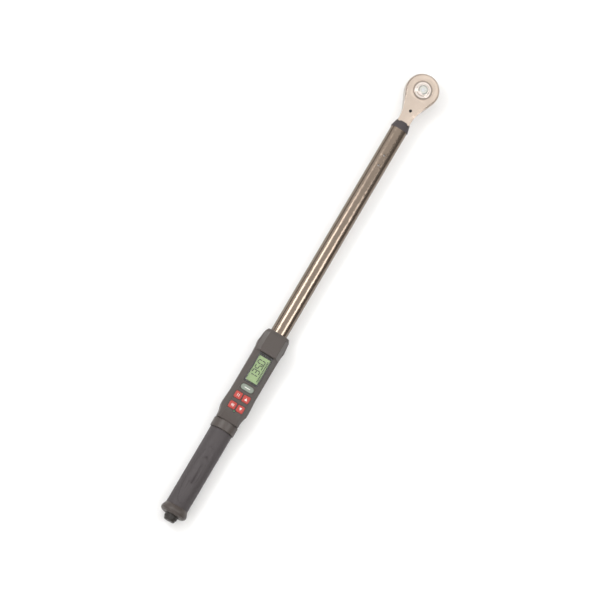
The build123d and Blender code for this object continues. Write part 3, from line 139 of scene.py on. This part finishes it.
FINISHES = {
    "head_chrome": Finish(
        "satin_plated_forging", (0.54, 0.455, 0.385), 0.24, 1.0, grain_size=0.25 * MM, bump=0.10
    ),
    "tube_steel": Finish(
        "drawn_dark_steel", (0.215, 0.172, 0.138), 0.20, 1.0, Grain.BRUSHED_LENGTHWISE, 0.15 * MM, bump=0.12
    ),
    "knob_chrome": Finish(
        "bright_knob_plate", (0.66, 0.595, 0.55), 0.20, 1.0, Grain.TURNED, 0.2 * MM, bump=0.08
    ),
    "knob_face": Finish(
        "brushed_knob_face", (0.60, 0.60, 0.56), 0.34, 1.0, Grain.TURNED, 0.15 * MM, bump=0.15
    ),
    # painted shade: a grey arc in the knob's face stands in for the shade along the knob's raised edge
    "arc_painted_shade": Finish("arc_painted_shade_grey", (0.34, 0.35, 0.32), 0.5, grain_size=0.2 * MM, bump=0.1),
    # painted shade: a darker plate colour on the groove floor round the knob stands in for the shade in the
    # groove
    "painted_groove_shade": Finish(
        "painted_groove_shade_plate", (0.36, 0.30, 0.255), 0.36, 1.0, Grain.TURNED, 0.2 * MM, bump=0.1
    ),
    "gear_steel": Finish("machined_steel", (0.50, 0.50, 0.50), 0.30, 1.0, Grain.TURNED, 0.2 * MM, bump=0.2),
    "black_oxide": Finish("black_oxide", (0.03, 0.03, 0.03), 0.38, 0.6, grain_size=0.1 * MM),
    "spring_steel": Finish("spring_wire", (0.66, 0.66, 0.68), 0.18, 1.0, grain_size=0.1 * MM),
    "zinc_screw": Finish("zinc_plate", (0.60, 0.61, 0.62), 0.28, 1.0, grain_size=0.1 * MM),
    "black_plastic": Finish(
        "spark_textured_plastic", (0.058, 0.046, 0.040), 0.46, grain_size=0.35 * MM, bump=0.35, mottling=0.1
    ),
    "bezel_plastic": Finish(
        "gloss_bezel", (0.02, 0.019, 0.018), 0.12, grain_size=0.8 * MM, bump=0.02, coat=0.5
    ),
    "grip_rubber": Finish(
        "soft_grip_rubber", (0.055, 0.046, 0.048), 0.62, grain_size=0.3 * MM, bump=0.5, mottling=0.2
    ),
    "seal_rubber": Finish("seal_rubber", (0.02, 0.02, 0.02), 0.5, grain_size=0.3 * MM, bump=0.2),
    "window_glass": Finish(
        "clear_window", (0.10, 0.12, 0.10), 0.04,
        grain_size=2 * MM, bump=0.0, alpha=0.06, roughness_spread=0.02,
    ),
    "lcd_green": Finish("lcd_panel", (0.33, 0.45, 0.22), 0.42, grain_size=0.2 * MM, bump=0.02, mottling=0.06),
    "white_plastic": Finish("white_moulding", (0.75, 0.75, 0.72), 0.45, bump=0.1),
    "board_green": Finish("solder_mask", (0.02, 0.16, 0.06), 0.28, bump=0.15, mottling=0.3),
    "chip_black": Finish("chip_epoxy", (0.03, 0.03, 0.03), 0.5, grain_size=0.15 * MM, bump=0.2),
    "dome_steel": Finish("dome_sheet", (0.7, 0.7, 0.71), 0.2, 1.0, Grain.TURNED, 0.1 * MM),
    "key_red": Finish(
        "red_key_rubber", (0.42, 0.045, 0.035), 0.48, grain_size=0.25 * MM, bump=0.2, mottling=0.1
    ),
    "key_grey": Finish("grey_key_rubber", (0.22, 0.25, 0.21), 0.48, grain_size=0.25 * MM, bump=0.2),
    "lamp_green": Finish("tinted_lamp", (0.03, 0.13, 0.04), 0.15, grain_size=1 * MM, bump=0.02, coat=0.6),
    "brass_contact": Finish("plated_contact", (0.80, 0.62, 0.30), 0.25, 1.0, Grain.TURNED, 0.15 * MM),
    "gauge_foil": Finish("gauge_film", (0.55, 0.28, 0.06), 0.3, grain_size=0.3 * MM),
    "cable_jacket": Finish("cable_jacket", (0.06, 0.06, 0.06), 0.5, grain_size=0.3 * MM, bump=0.15),
    "battery_jacket": Finish("battery_wrap", (0.05, 0.09, 0.20), 0.25, grain_size=1 * MM, coat=0.3),
    "cap_plastic": Finish("moulded_cap", (0.018, 0.014, 0.011), 0.42, grain_size=0.3 * MM, bump=0.3),
    "ink": Finish("display_ink", (0.012, 0.014, 0.012), 0.5, grain_size=0.2 * MM, bump=0.02),
    "key_print": Finish("key_print", (0.75, 0.74, 0.70), 0.5, grain_size=0.2 * MM, bump=0.05),
    "pale_floor": Finish("pale_studio_floor", (0.93, 0.93, 0.93), 0.85, grain_size=4 * MM, mottling=0.01),
}


@dataclass
class Paint:
    """Hands out one material for each finish, built the first time it is asked for."""

    built: dict[str, bpy.types.Material]

    def get(self, key: str) -> bpy.types.Material:
        """The material of one finish.

        Args:
            key: a name in FINISHES.

        Returns:
            The material.
        """
        if key not in self.built:
            self.built[key] = FINISHES[key].build()
        return self.built[key]

    def dress(self, piece: bpy.types.Object, key: str) -> None:
        """Gives every face of a piece one finish.

        Args:
            piece: the object to paint.
            key: a name in FINISHES.
        """
        material = self.get(key)
        if not piece.material_slots:
            piece.data.materials.append(material)
        for slot in piece.material_slots:
            slot.material = material


PAINT = Paint({})


def link(name: str, mesh: bpy.types.Mesh) -> bpy.types.Object:
    """Puts a mesh in the scene as a new object at the origin.

    Args:
        name: the piece's name.
        mesh: its mesh, with the piece's place already in it.

    Returns:
        The new object.
    """
    piece = bpy.data.objects.new(name, mesh)
    bpy.context.scene.collection.objects.link(piece)
    return piece


def settle(piece: bpy.types.Object) -> bpy.types.Object:
    """Turns a piece's live modifiers into a plain mesh, and removes them.

    Args:
        piece: an object with modifiers.

    Returns:
        The same object, with no modifiers.
    """
    bpy.context.view_layer.update()
    done = bpy.data.meshes.new_from_object(piece.evaluated_get(bpy.context.evaluated_depsgraph_get()))
    piece.modifiers.clear()
    piece.data = done
    return piece


def place(piece: bpy.types.Object, body: str, finish: str, *nodes: str) -> bpy.types.Object:
    """Paints a finished piece, rides it on its body and hides the CAD nodes that it stands for.

    Args:
        piece: the finished object.
        body: the CAD body that carries it.
        finish: a name in FINISHES.
        nodes: CAD nodes that the piece replaces.

    Returns:
        The same object.
    """
    PAINT.dress(piece, finish)
    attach(piece, body)
    if nodes:
        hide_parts(*nodes)
    log.info("made %s on %s, %d faces", piece.name, body, len(piece.data.polygons))
    return piece


def rounded_copy(node: str, width: float, segments: int = 3, angle: float = 28.0) -> bpy.types.Object:
    """Copies a CAD node's mesh, merges it and rounds its edges, as a moulded or forged piece has.

    Args:
        node: the CAD node to copy.
        width: the rounding's width.
        segments: faces across the rounding.
        angle: edges sharper than this many degrees are rounded.

    Returns:
        A new smooth-shaded object with no modifiers.
    """
    mesh = frame["nodes"][node].data.copy()
    mesh.materials.clear()
    shape = bmesh.new()
    shape.from_mesh(mesh)
    bmesh.ops.remove_doubles(shape, verts=shape.verts, dist=MERGE_DISTANCE)
    bmesh.ops.dissolve_limit(shape, angle_limit=math.radians(1.0), verts=shape.verts, edges=shape.edges)
    shape.to_mesh(mesh)
    shape.free()
    piece = link(f"{node}.finished", mesh)
    bevel = piece.modifiers.new("edges", "BEVEL")
    bevel.width = width
    bevel.segments = segments
    bevel.limit_method = "ANGLE"
    bevel.angle_limit = math.radians(angle)
    bevel.use_clamp_overlap = True
    bevel.harden_normals = True
    piece.data.shade_smooth()
    settle(piece)
    return smooth_by_angle(piece, 35.0)


def smooth_by_angle(piece: bpy.types.Object, degrees: float) -> bpy.types.Object:
    """Shades a piece smooth, with its sharp edges kept.

    Args:
        piece: the object to shade.
        degrees: edges that turn more than this stay sharp.

    Returns:
        The same object.
    """
    piece.data.shade_smooth()
    piece.data.set_sharp_from_angle(angle=math.radians(degrees))
    return piece


def annulus(
    name: str,
    centre: tuple[float, float],
    radii: tuple[float, float],
    heights: tuple[float, float],
    start: float = 0.0,
    sweep: float = 360.0,
) -> bpy.types.Object:
    """Raises a flat ring, or a part of one, about an axis parallel to Z.

    Args:
        name: the piece's name.
        centre: the axis, in metres.
        radii: the inner and the outer radius.
        heights: the underside and the top.
        start: where a part ring begins, in degrees.
        sweep: how far it goes round, in degrees; 360 closes it.

    Returns:
        The new object.
    """
    steps = round(FULL_TURN_STEPS * sweep / 360)
    (inner, outer), (low, high) = radii, heights
    section = ((inner, low), (outer, low), (outer, high), (inner, high))
    shape = bmesh.new()
    loops = []
    for step in range(steps + 1):
        turn = math.radians(start + sweep * step / steps)
        loops.append([
            shape.verts.new((centre[0] + r * math.cos(turn), centre[1] + r * math.sin(turn), z))
            for r, z in section
        ])
    for here, there in zip(loops, loops[1:]):
        for k in range(4):
            shape.faces.new((here[k], here[(k + 1) % 4], there[(k + 1) % 4], there[k]))
    if sweep < 360:
        shape.faces.new(loops[0])
        shape.faces.new(loops[-1])
    return finish_mesh(name, shape, 25.0)


def finish_mesh(name: str, shape: bmesh.types.BMesh, sharp: float = 35.0) -> bpy.types.Object:
    """Merges a built mesh, points its faces outwards and links it.

    Args:
        name: the piece's name.
        shape: the built mesh, which is freed.
        sharp: edges that turn more than this many degrees stay sharp.

    Returns:
        The new object.
    """
    bmesh.ops.remove_doubles(shape, verts=shape.verts, dist=MERGE_DISTANCE)
    bmesh.ops.recalc_face_normals(shape, faces=shape.faces)
    mesh = bpy.data.meshes.new(name)
    shape.to_mesh(mesh)
    shape.free()
    return smooth_by_angle(link(name, mesh), sharp)


@dataclass
class Studio:
    """Camera, pale floor and soft lights."""

    toward_camera: tuple[float, float, float] = (-0.1594, 0.0412, 0.964)
    aim: tuple[float, float, float] = (-0.3224, -0.0014, 0.012)
    distance: float = 10.0
    lens: float = 457.5
    image_down_handle: tuple[float, float] = (-0.50796, 0.86138)
    clip_end: float = 50.0
    floor_size: float = 14.0
    floor_gap: float = 0.1 * MM
    tip_low: float = -16.1 * MM
    flange_low: float = -6.5 * MM
    flange_x: float = -647 * MM
    strip_spot: tuple[float, float, float] = (-0.24, 0.76, 1.10)
    strip_size: tuple[float, float] = (0.55, 0.38)
    strip_power: float = 5.5
    head_box_spot: tuple[float, float, float] = (0.92, -0.1, 2.20)
    head_box_size: tuple[float, float] = (0.80, 1.20)
    head_box_power: float = 1.2
    key_strength: float = 2.15
    key_spread: float = 110.0
    key_tilt: tuple[float, float, float] = (-24.0, -12.0, 0.0)
    surround_tint: tuple[float, float, float, float] = (1.0, 0.97, 0.93, 1.0)
    surround_strength: float = 0.38

    def build(self) -> None:
        """Sets up the whole studio."""
        self.camera()
        self.floor()
        self.lights()

    def camera(self) -> None:
        """Places the camera, rolled so that the handle runs down and to the left."""
        back = Vector(self.toward_camera).normalized()
        toward_handle = Vector((-1.0, 0.0, 0.0))
        along = (toward_handle - toward_handle.dot(back) * back).normalized()
        beside = back.cross(along)
        right_part, down_part = self.image_down_handle
        right = right_part * along + down_part * beside
        up = -(down_part * along - right_part * beside)
        lens = bpy.data.cameras.new("view")
        lens.lens = self.lens
        lens.clip_end = self.clip_end
        camera = bpy.data.objects.new("view", lens)
        bpy.context.scene.collection.objects.link(camera)
        turn = Matrix((right, up, back)).transposed().to_4x4()
        camera.matrix_world = Matrix.Translation(Vector(self.aim) + back * self.distance) @ turn
        bpy.context.scene.camera = camera

    def floor(self) -> None:
        """Lays the floor under the square's tip and the handle's end, which the wrench rests on."""
        slope = (self.flange_low - self.tip_low) / self.flange_x
        half = self.floor_size / 2
        shape = bmesh.new()
        corners = [
            shape.verts.new((x, y, self.tip_low - self.floor_gap + slope * x))
            for x, y in ((-half, -half), (half, -half), (half, half), (-half, half))
        ]
        shape.faces.new(corners)
        floor = finish_mesh("floor", shape)
        PAINT.dress(floor, "pale_floor")

    def lights(self) -> None:
        """Two strips over the lower tube, a box over the head, a broad soft key and a dim surround."""
        x, y, z = self.strip_spot
        self.soft_box("strip_left", (x, y, z), self.strip_size, self.strip_power)
        self.soft_box("strip_right", (x, -y, z), self.strip_size, self.strip_power)
        self.soft_box("over_head", self.head_box_spot, self.head_box_size, self.head_box_power)
        key = bpy.data.lights.new("broad_key", "SUN")
        key.energy = self.key_strength
        key.angle = math.radians(self.key_spread)
        lamp = bpy.data.objects.new("broad_key", key)
        bpy.context.scene.collection.objects.link(lamp)
        lamp.rotation_euler = [math.radians(turn) for turn in self.key_tilt]
        world = bpy.data.worlds.new("surround")
        world.use_nodes = True
        glow = world.node_tree.nodes["Background"]
        glow.inputs["Color"].default_value = self.surround_tint
        glow.inputs["Strength"].default_value = self.surround_strength
        bpy.context.scene.world = world
        bpy.context.scene.view_settings.view_transform = "Standard"

    def soft_box(
        self, name: str, spot: tuple[float, float, float], size: tuple[float, float], power: float
    ) -> None:
        """Hangs one rectangular light that faces the middle of the wrench.

        Args:
            name: the light's name.
            spot: where it hangs.
            size: its length along X and its width.
            power: its power in watts.
        """
        data = bpy.data.lights.new(name, "AREA")
        data.shape = "RECTANGLE"
        data.size, data.size_y = size
        data.energy = power
        lamp = bpy.data.objects.new(name, data)
        bpy.context.scene.collection.objects.link(lamp)
        aim = (Vector(spot) - Vector((spot[0], 0.0, AXIS_Z))).normalized()
        side = Vector((1.0, 0.0, 0.0))
        lamp.matrix_world = (
            Matrix.Translation(Vector(spot)) @ Matrix((side, aim.cross(side), aim)).transposed().to_4x4()
        )


@dataclass
class RatchetHead:
    """The forged head, its direction selector, cover and front collar."""

    edge: float = 0.7 * MM
    knob_edge: float = 0.25 * MM
    groove_radii: tuple[float, float] = (10.65 * MM, 12.95 * MM)
    groove_depths: tuple[float, float] = (0.95 * MM, 0.70 * MM)
    arc_radii: tuple[float, float] = (4.95 * MM, 6.15 * MM)
    arc_depths: tuple[float, float] = (0.55 * MM, 0.35 * MM)
    arc_start: float = 196.0
    arc_sweep: float = 298.0
    disc_radii: tuple[float, float] = (2.8 * MM, 4.75 * MM)
    disc_depths: tuple[float, float] = (0.1 * MM, -0.06 * MM)
    rib_count: int = 48
    rib_size: tuple[float, float, float] = (0.5 * MM, 0.45 * MM, 1.4 * MM)
    rib_inset: float = 0.35 * MM
    rib_band: float = 1.6 * MM

    def build(self) -> None:
        """Rounds and paints the visible pieces of the head, and adds the rings and the ribs."""
        place(rounded_copy("ratchet_head", self.edge), "frame", "head_chrome", "ratchet_head")
        place(rounded_copy("selector_knob", self.knob_edge, 2), "selector", "knob_chrome", "selector_knob")
        place(rounded_copy("head_cover", self.knob_edge, 2), "frame", "head_chrome", "head_cover")
        place(rounded_copy("front_collar", self.knob_edge, 2), "frame", "grip_rubber", "front_collar")
        self.rings()
        self.knurl()

    def rings(self) -> None:
        """Lays the ring of painted shade round the knob, the arc of painted shade in its face and the grey
        disc inside the arc.
        """
        head_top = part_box("ratchet_head")[1].z
        knob_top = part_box("selector_knob")[1].z
        ring, arc = (0.0, 360.0), (self.arc_start, self.arc_sweep)
        for name, top, radii, depths, start, sweep, body, finish in (
            # painted shade: the darker ring on the groove floor round the knob
            ("knob_surround", head_top, self.groove_radii, self.groove_depths, *ring, "frame", "painted_groove_shade"),
            # painted shade: the grey arc along the knob's raised edge
            ("knob_arc", knob_top, self.arc_radii, self.arc_depths, *arc, "selector", "arc_painted_shade"),
            ("knob_disc", knob_top, self.disc_radii, self.disc_depths, *ring, "selector", "knob_face"),
        ):
            heights = (top - depths[0], top - depths[1])
            place(annulus(name, (0.0, 0.0), radii, heights, start, sweep), body, finish)

    def knurl(self) -> None:
        """Sets the finger ribs round the selector's rim, as raised bars set by Geometry Nodes."""
        low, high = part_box("selector_knob")
        radius = (high.x - low.x) / 2
        middle = Vector((0, 0, low.z + self.rib_band / 2))
        ribs = BarRing("selector_ribs", self.rib_count, radius - self.rib_inset, self.rib_size)
        piece = ribs.build(middle, Vector((0, 0, 1)), PAINT.get("knob_chrome"))
        place(piece, "selector", "knob_chrome")


@dataclass
class BarRing:
    """Equal bars set round a circle by a Geometry Nodes tree."""

    name: str
    count: int
    radius: float
    bar: tuple[float, float, float]

    def build(self, centre: Vector, axis: Vector, material: bpy.types.Material) -> bpy.types.Object:
        """Makes the ring of bars as one plain mesh.

        Args:
            centre: the ring's centre.
            axis: the ring's axis.
            material: the finish that the tree sets.

        Returns:
            The new object, at the origin, with no modifiers.
        """
        tree = bpy.data.node_groups.new(self.name, "GeometryNodeTree")
        face = tree.interface
        face.new_socket("Geometry", in_out="OUTPUT", socket_type="NodeSocketGeometry")
        sockets = {
            "Count": face.new_socket("Count", in_out="INPUT", socket_type="NodeSocketInt"),
            "Radius": face.new_socket("Radius", in_out="INPUT", socket_type="NodeSocketFloat"),
            "Bar": face.new_socket("Bar", in_out="INPUT", socket_type="NodeSocketVector"),
        }
        nodes, links = tree.nodes, tree.links
        entry, leave = nodes.new("NodeGroupInput"), nodes.new("NodeGroupOutput")
        circle = nodes.new("GeometryNodeMeshCircle")
        links.new(entry.outputs["Count"], circle.inputs["Vertices"])
        links.new(entry.outputs["Radius"], circle.inputs["Radius"])
        cube = nodes.new("GeometryNodeMeshCube")
        links.new(entry.outputs["Bar"], cube.inputs["Size"])
        outward = nodes.new("FunctionNodeAlignRotationToVector")
        outward.axis = "X"
        outward.pivot_axis = "Z"
        position = nodes.new("GeometryNodeInputPosition")
        links.new(position.outputs["Position"], outward.inputs["Vector"])
        spread = nodes.new("GeometryNodeInstanceOnPoints")
        links.new(circle.outputs["Mesh"], spread.inputs["Points"])
        links.new(cube.outputs["Mesh"], spread.inputs["Instance"])
        links.new(outward.outputs["Rotation"], spread.inputs["Rotation"])
        real = nodes.new("GeometryNodeRealizeInstances")
        links.new(spread.outputs["Instances"], real.inputs["Geometry"])
        dress = nodes.new("GeometryNodeSetMaterial")
        dress.inputs["Material"].default_value = material
        links.new(real.outputs["Geometry"], dress.inputs["Geometry"])
        links.new(dress.outputs["Geometry"], leave.inputs[0])
        piece = link(self.name, bpy.data.meshes.new(self.name))
        modifier = piece.modifiers.new("ring", "NODES")
        modifier.node_group = tree
        modifier[sockets["Count"].identifier] = self.count
        modifier[sockets["Radius"].identifier] = self.radius
        modifier[sockets["Bar"].identifier] = self.bar
        settle(piece)
        turn = Vector((0, 0, 1)).rotation_difference(axis).to_matrix().to_4x4()
        piece.data.transform(Matrix.Translation(centre) @ turn)
        return smooth_by_angle(piece, 30.0)


def rectangle(x: float, y: float, length: float, width: float) -> list[tuple[float, float]]:
    """The corners of an upright rectangle, anticlockwise.

    Args:
        x: its middle along X.
        y: its middle along Y.
        length: its size along X.
        width: its size along Y.

    Returns:
        Its four corners.
    """
    return [(x + i * length / 2, y + j * width / 2) for i, j in ((-1, -1), (1, -1), (1, 1), (-1, 1))]


def slabs(
    name: str, outlines: list[list[tuple[float, float]]], low: float, high: float
) -> bpy.types.Object:
    """Raises several flat outlines into one piece of separate slabs.

    Args:
        name: the piece's name.
        outlines: the corners of each slab in the XY plane, in metres.
        low: height of the undersides.
        high: height of the tops.

    Returns:
        The new object.
    """
    shape = bmesh.new()
    for outline in outlines:
        under = [shape.verts.new((x, y, low)) for x, y in outline]
        above = [shape.verts.new((x, y, high)) for x, y in outline]
        shape.faces.new(list(reversed(under)))
        shape.faces.new(above)
        for k in range(len(outline)):
            after = (k + 1) % len(outline)
            shape.faces.new((under[k], under[after], above[after], above[k]))
    return finish_mesh(name, shape, 25.0)


@dataclass
class MeasuringTube:
    """The oval tube with its pins."""

    def build(self) -> None:
        """Paints the tube and its pins, whose CAD shapes are right."""
        for node in ("steel_tube", "tube_pins"):
            PAINT.dress(frame["nodes"][node], "tube_steel")
            smooth_cad(node)
            log.info("dressed %s", node)


def smooth_cad(node: str) -> None:
    """Shades a CAD node smooth without touching its vertices.

    Args:
        node: the CAD node's name.
    """
    for face in frame["nodes"][node].data.polygons:
        face.use_smooth = True


@dataclass
class Display:
    """The bezel, the panel behind its window, and the reading and the load graph printed on it."""

    digit_height: float = 9.4 * MM
    digit_width: float = 4.8 * MM
    stroke: float = 1.25 * MM
    pitch: float = 7.2 * MM
    print_height: float = 0.05 * MM
    dot_scale: float = 1.2
    bezel_edge: float = 0.2 * MM
    reading: str = "135.0"
    segments_of: tuple[str, ...] = (
        "abcdef", "bc", "abged", "abgcd", "fgbc", "afgcd", "afgedc", "abc", "abcdefg", "abcdfg"
    )
    segment_gap: float = 0.12 * MM
    reading_y: float = 1.2 * MM
    graph_y: float = -6.4 * MM
    bar_pitch: float = 2.2 * MM
    bar_size: tuple[float, float] = (1.5 * MM, 1.8 * MM)
    bar_count: int = 14

    def build(self) -> None:
        """Rounds the bezel, dresses the panel and prints the reading on it."""
        place(rounded_copy("display_bezel", self.bezel_edge, 2), "frame", "bezel_plastic", "display_bezel")
        for node, finish in (("display_window", "window_glass"), ("lcd_glass", "lcd_green")):
            PAINT.dress(frame["nodes"][node], finish)
        low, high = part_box("lcd_glass")
        middle = (low.x + high.x) / 2
        outlines = self.digits(Vector((middle, self.reading_y))) + self.bars(Vector((middle, self.graph_y)))
        place(slabs("display_digits", outlines, high.z, high.z + self.print_height), "frame", "ink")

    def digits(self, centre: Vector) -> list[list[tuple[float, float]]]:
        """Seven-segment outlines of the reading, which runs along +X with its top towards +Y.

        Args:
            centre: the middle of the reading.

        Returns:
            One outline for each lit segment, and one for the point.
        """
        figures = [c for c in self.reading if c != "."]
        start = centre.x - self.pitch * (len(figures) - 1) / 2
        outlines = []
        shown = 0
        for mark in self.reading:
            x = start + shown * self.pitch
            if mark == ".":
                dot = self.stroke * self.dot_scale
                outlines.append(rectangle(x - self.pitch / 2, centre.y - self.digit_height / 2, dot, dot))
                continue
            outlines += [self.segment(x, centre.y, name) for name in self.segments_of[int(mark)]]
            shown += 1
        return outlines

    def segment(self, x: float, y: float, name: str) -> list[tuple[float, float]]:
        """The pointed bar of one segment.

        Args:
            x: the digit's middle along X.
            y: the digit's middle along Y.
            name: the segment's letter, from a at the top round to g in the middle.

        Returns:
            Its six corners, anticlockwise.
        """
        w, h = self.digit_width / 2, self.digit_height / 2
        middle = {
            "a": (0, h), "b": (w, h / 2), "c": (w, -h / 2), "d": (0, -h),
            "e": (-w, -h / 2), "f": (-w, h / 2), "g": (0, 0),
        }[name]
        flat = name in "adg"
        reach = (w if flat else h / 2) - self.segment_gap
        half = self.stroke / 2
        shoulder = reach - half
        corners = [
            (-reach, 0), (-shoulder, -half), (shoulder, -half),
            (reach, 0), (shoulder, half), (-shoulder, half),
        ]
        if not flat:
            corners = [(-b, a) for a, b in corners]
        return [(x + middle[0] + a, y + middle[1] + b) for a, b in corners]

    def bars(self, centre: Vector) -> list[list[tuple[float, float]]]:
        """Short blocks of the load graph.

        Args:
            centre: the middle of the graph.

        Returns:
            One outline for each block.
        """
        first = centre.x - self.bar_pitch * (self.bar_count - 1) / 2
        return [
            rectangle(first + k * self.bar_pitch, centre.y, *self.bar_size) for k in range(self.bar_count)
        ]


@dataclass
class Housing:
    """The two shells round the electronics, the keypad and the collar round the lamp."""

    shell_edge: float = 1.0 * MM
    key_edge: float = 0.35 * MM
    collar_radii: tuple[float, float] = (1.25 * MM, 2.2 * MM)
    collar_sunk: float = 0.05 * MM
    collar_height: float = 0.45 * MM
    sign_half: float = 1.9 * MM
    sign_line: float = 0.6 * MM
    sign_sunk: float = 0.01 * MM
    enter_bar: tuple[float, float] = (1.0 * MM, 8.0 * MM)
    units_rows: tuple[float, ...] = (-1.1 * MM, 1.1 * MM)
    menu_rows: tuple[float, ...] = (-1.4 * MM, 0.0, 1.4 * MM)
    print_height: float = 0.05 * MM

    def build(self) -> None:
        """Rounds the shells and keys, prints plain signs on the keys and sets the lamp's collar."""
        place(rounded_copy("housing_upper", self.shell_edge, 4), "frame", "black_plastic", "housing_upper")
        place(rounded_copy("housing_lower", self.shell_edge, 4), "frame", "black_plastic", "housing_lower")
        for key in ("enter", "up", "down", "units", "menu"):
            finish = "key_grey" if key == "enter" else "key_red"
            node = f"{key}_button"
            place(rounded_copy(node, self.key_edge, 3), f"{key}_key", finish, node)
            self.mark(key)
        low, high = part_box("status_lamp")
        centre = ((low.x + high.x) / 2, 0.0)
        heights = (high.z - self.collar_sunk, high.z + self.collar_height)
        place(annulus("lamp_collar", centre, self.collar_radii, heights), "frame", "bezel_plastic")

    def mark(self, key: str) -> None:
        """Prints a generic sign on one key.

        Args:
            key: the key's name.
        """
        low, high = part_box(f"{key}_button")
        x, y = (low.x + high.x) / 2, (low.y + high.y) / 2
        half, line = self.sign_half, self.sign_line
        signs = {
            "enter": [rectangle(x, y, *self.enter_bar)],
            "up": [[(x - half, y - half), (x + half, y), (x - half, y + half)]],
            "down": [[(x + half, y + half), (x - half, y), (x + half, y - half)]],
            "units": [rectangle(x, y + d, 2 * half, line) for d in self.units_rows],
            "menu": [rectangle(x, y + d, 2 * half, line) for d in self.menu_rows],
        }
        sign = slabs(f"{key}_sign", signs[key], high.z - self.sign_sunk, high.z + self.print_height)
        place(sign, f"{key}_key", "key_print")


@dataclass
class Handle:
    """The grip with its raised panel line, the rings and the battery cap."""

    grip_radius: float = 15.7 * MM
    ridge: float = 0.35 * MM
    panel_front: float = -552.0 * MM
    panel_back: float = -636.0 * MM
    panel_half_width: float = 11.5 * MM
    panel_fullness: float = 0.8
    panel_steps: int = 160
    bead_sides: int = 8
    ring_edge: float = 0.3 * MM
    grip_edge: float = 0.5 * MM
    cap_edge: float = 0.25 * MM
    fold_angle: float = 40.0
    flute_count: int = 24
    flute_radius: float = 8.5 * MM
    flute_size: tuple[float, float, float] = (0.9 * MM, 0.7 * MM, 4.8 * MM)
    flute_offset: float = 6.2 * MM

    def build(self) -> None:
        """Rounds the handle's pieces and adds the panel line and the cap's flutes."""
        ring = rounded_copy("grip_ring", self.ring_edge, 2, self.fold_angle)
        place(ring, "frame", "black_plastic", "grip_ring")
        grip = rounded_copy("rubber_grip", self.grip_edge, 3, self.fold_angle)
        place(grip, "frame", "grip_rubber", "rubber_grip")
        place(rounded_copy("end_ring", self.grip_edge, 3), "frame", "black_plastic", "end_ring")
        place(rounded_copy("battery_cap", self.cap_edge, 2), "cap", "cap_plastic", "battery_cap")
        place(self.panel_line(), "frame", "grip_rubber")
        flutes = BarRing("cap_flutes", self.flute_count, self.flute_radius, self.flute_size)
        middle = Vector((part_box("battery_cap")[0].x + self.flute_offset, 0, AXIS_Z))
        place(flutes.build(middle, Vector((1, 0, 0)), PAINT.get("cap_plastic")), "cap", "cap_plastic")

    def panel_line(self) -> bpy.types.Object:
        """The boat-shaped ridge round the grip's top panel, as a closed bead on the grip's surface.

        Returns:
            The new object.
        """
        length = self.panel_front - self.panel_back
        steps, sides = self.panel_steps, self.bead_sides
        loop = []
        for step in range(steps):
            t = 2 * math.pi * step / steps
            x = self.panel_back + length * (0.5 + 0.5 * math.cos(t))
            bow = abs(math.sin(t)) ** self.panel_fullness
            across = self.panel_half_width * math.copysign(bow, math.sin(t))
            loop.append((x, across))
        radius = self.grip_radius
        points = [
            Vector((x, radius * math.sin(s / radius), AXIS_Z + radius * math.cos(s / radius)))
            for x, s in loop
        ]
        shape = bmesh.new()
        rings = []
        for k, point in enumerate(points):
            ahead = (points[(k + 1) % steps] - points[k - 1]).normalized()
            out = Vector((0, point.y, point.z - AXIS_Z)).normalized()
            beside = ahead.cross(out)
            rings.append([
                shape.verts.new(point + self.ridge * (math.cos(a) * out + math.sin(a) * beside))
                for a in (2 * math.pi * j / sides for j in range(sides))
            ])
        for k in range(steps):
            here, there = rings[k], rings[(k + 1) % steps]
            for j in range(sides):
                shape.faces.new((here[j], here[(j + 1) % sides], there[(j + 1) % sides], there[j]))
        return finish_mesh("panel_line", shape, 80.0)


def dress_remaining() -> None:
    """Paints every CAD node with the finish of its record slot, hidden ones included."""
    shown = {s["node"]: s["material_slot"] for s in frame["record"]["subparts"]}
    for node, key in shown.items():
        PAINT.dress(frame["nodes"][node], key)


def main() -> None:
    """Builds the studio and every sub-assembly, in order."""
    Studio().build()
    dress_remaining()
    RatchetHead().build()
    MeasuringTube().build()
    Housing().build()
    Display().build()
    Handle().build()


if __name__ == "__main__":
    main()
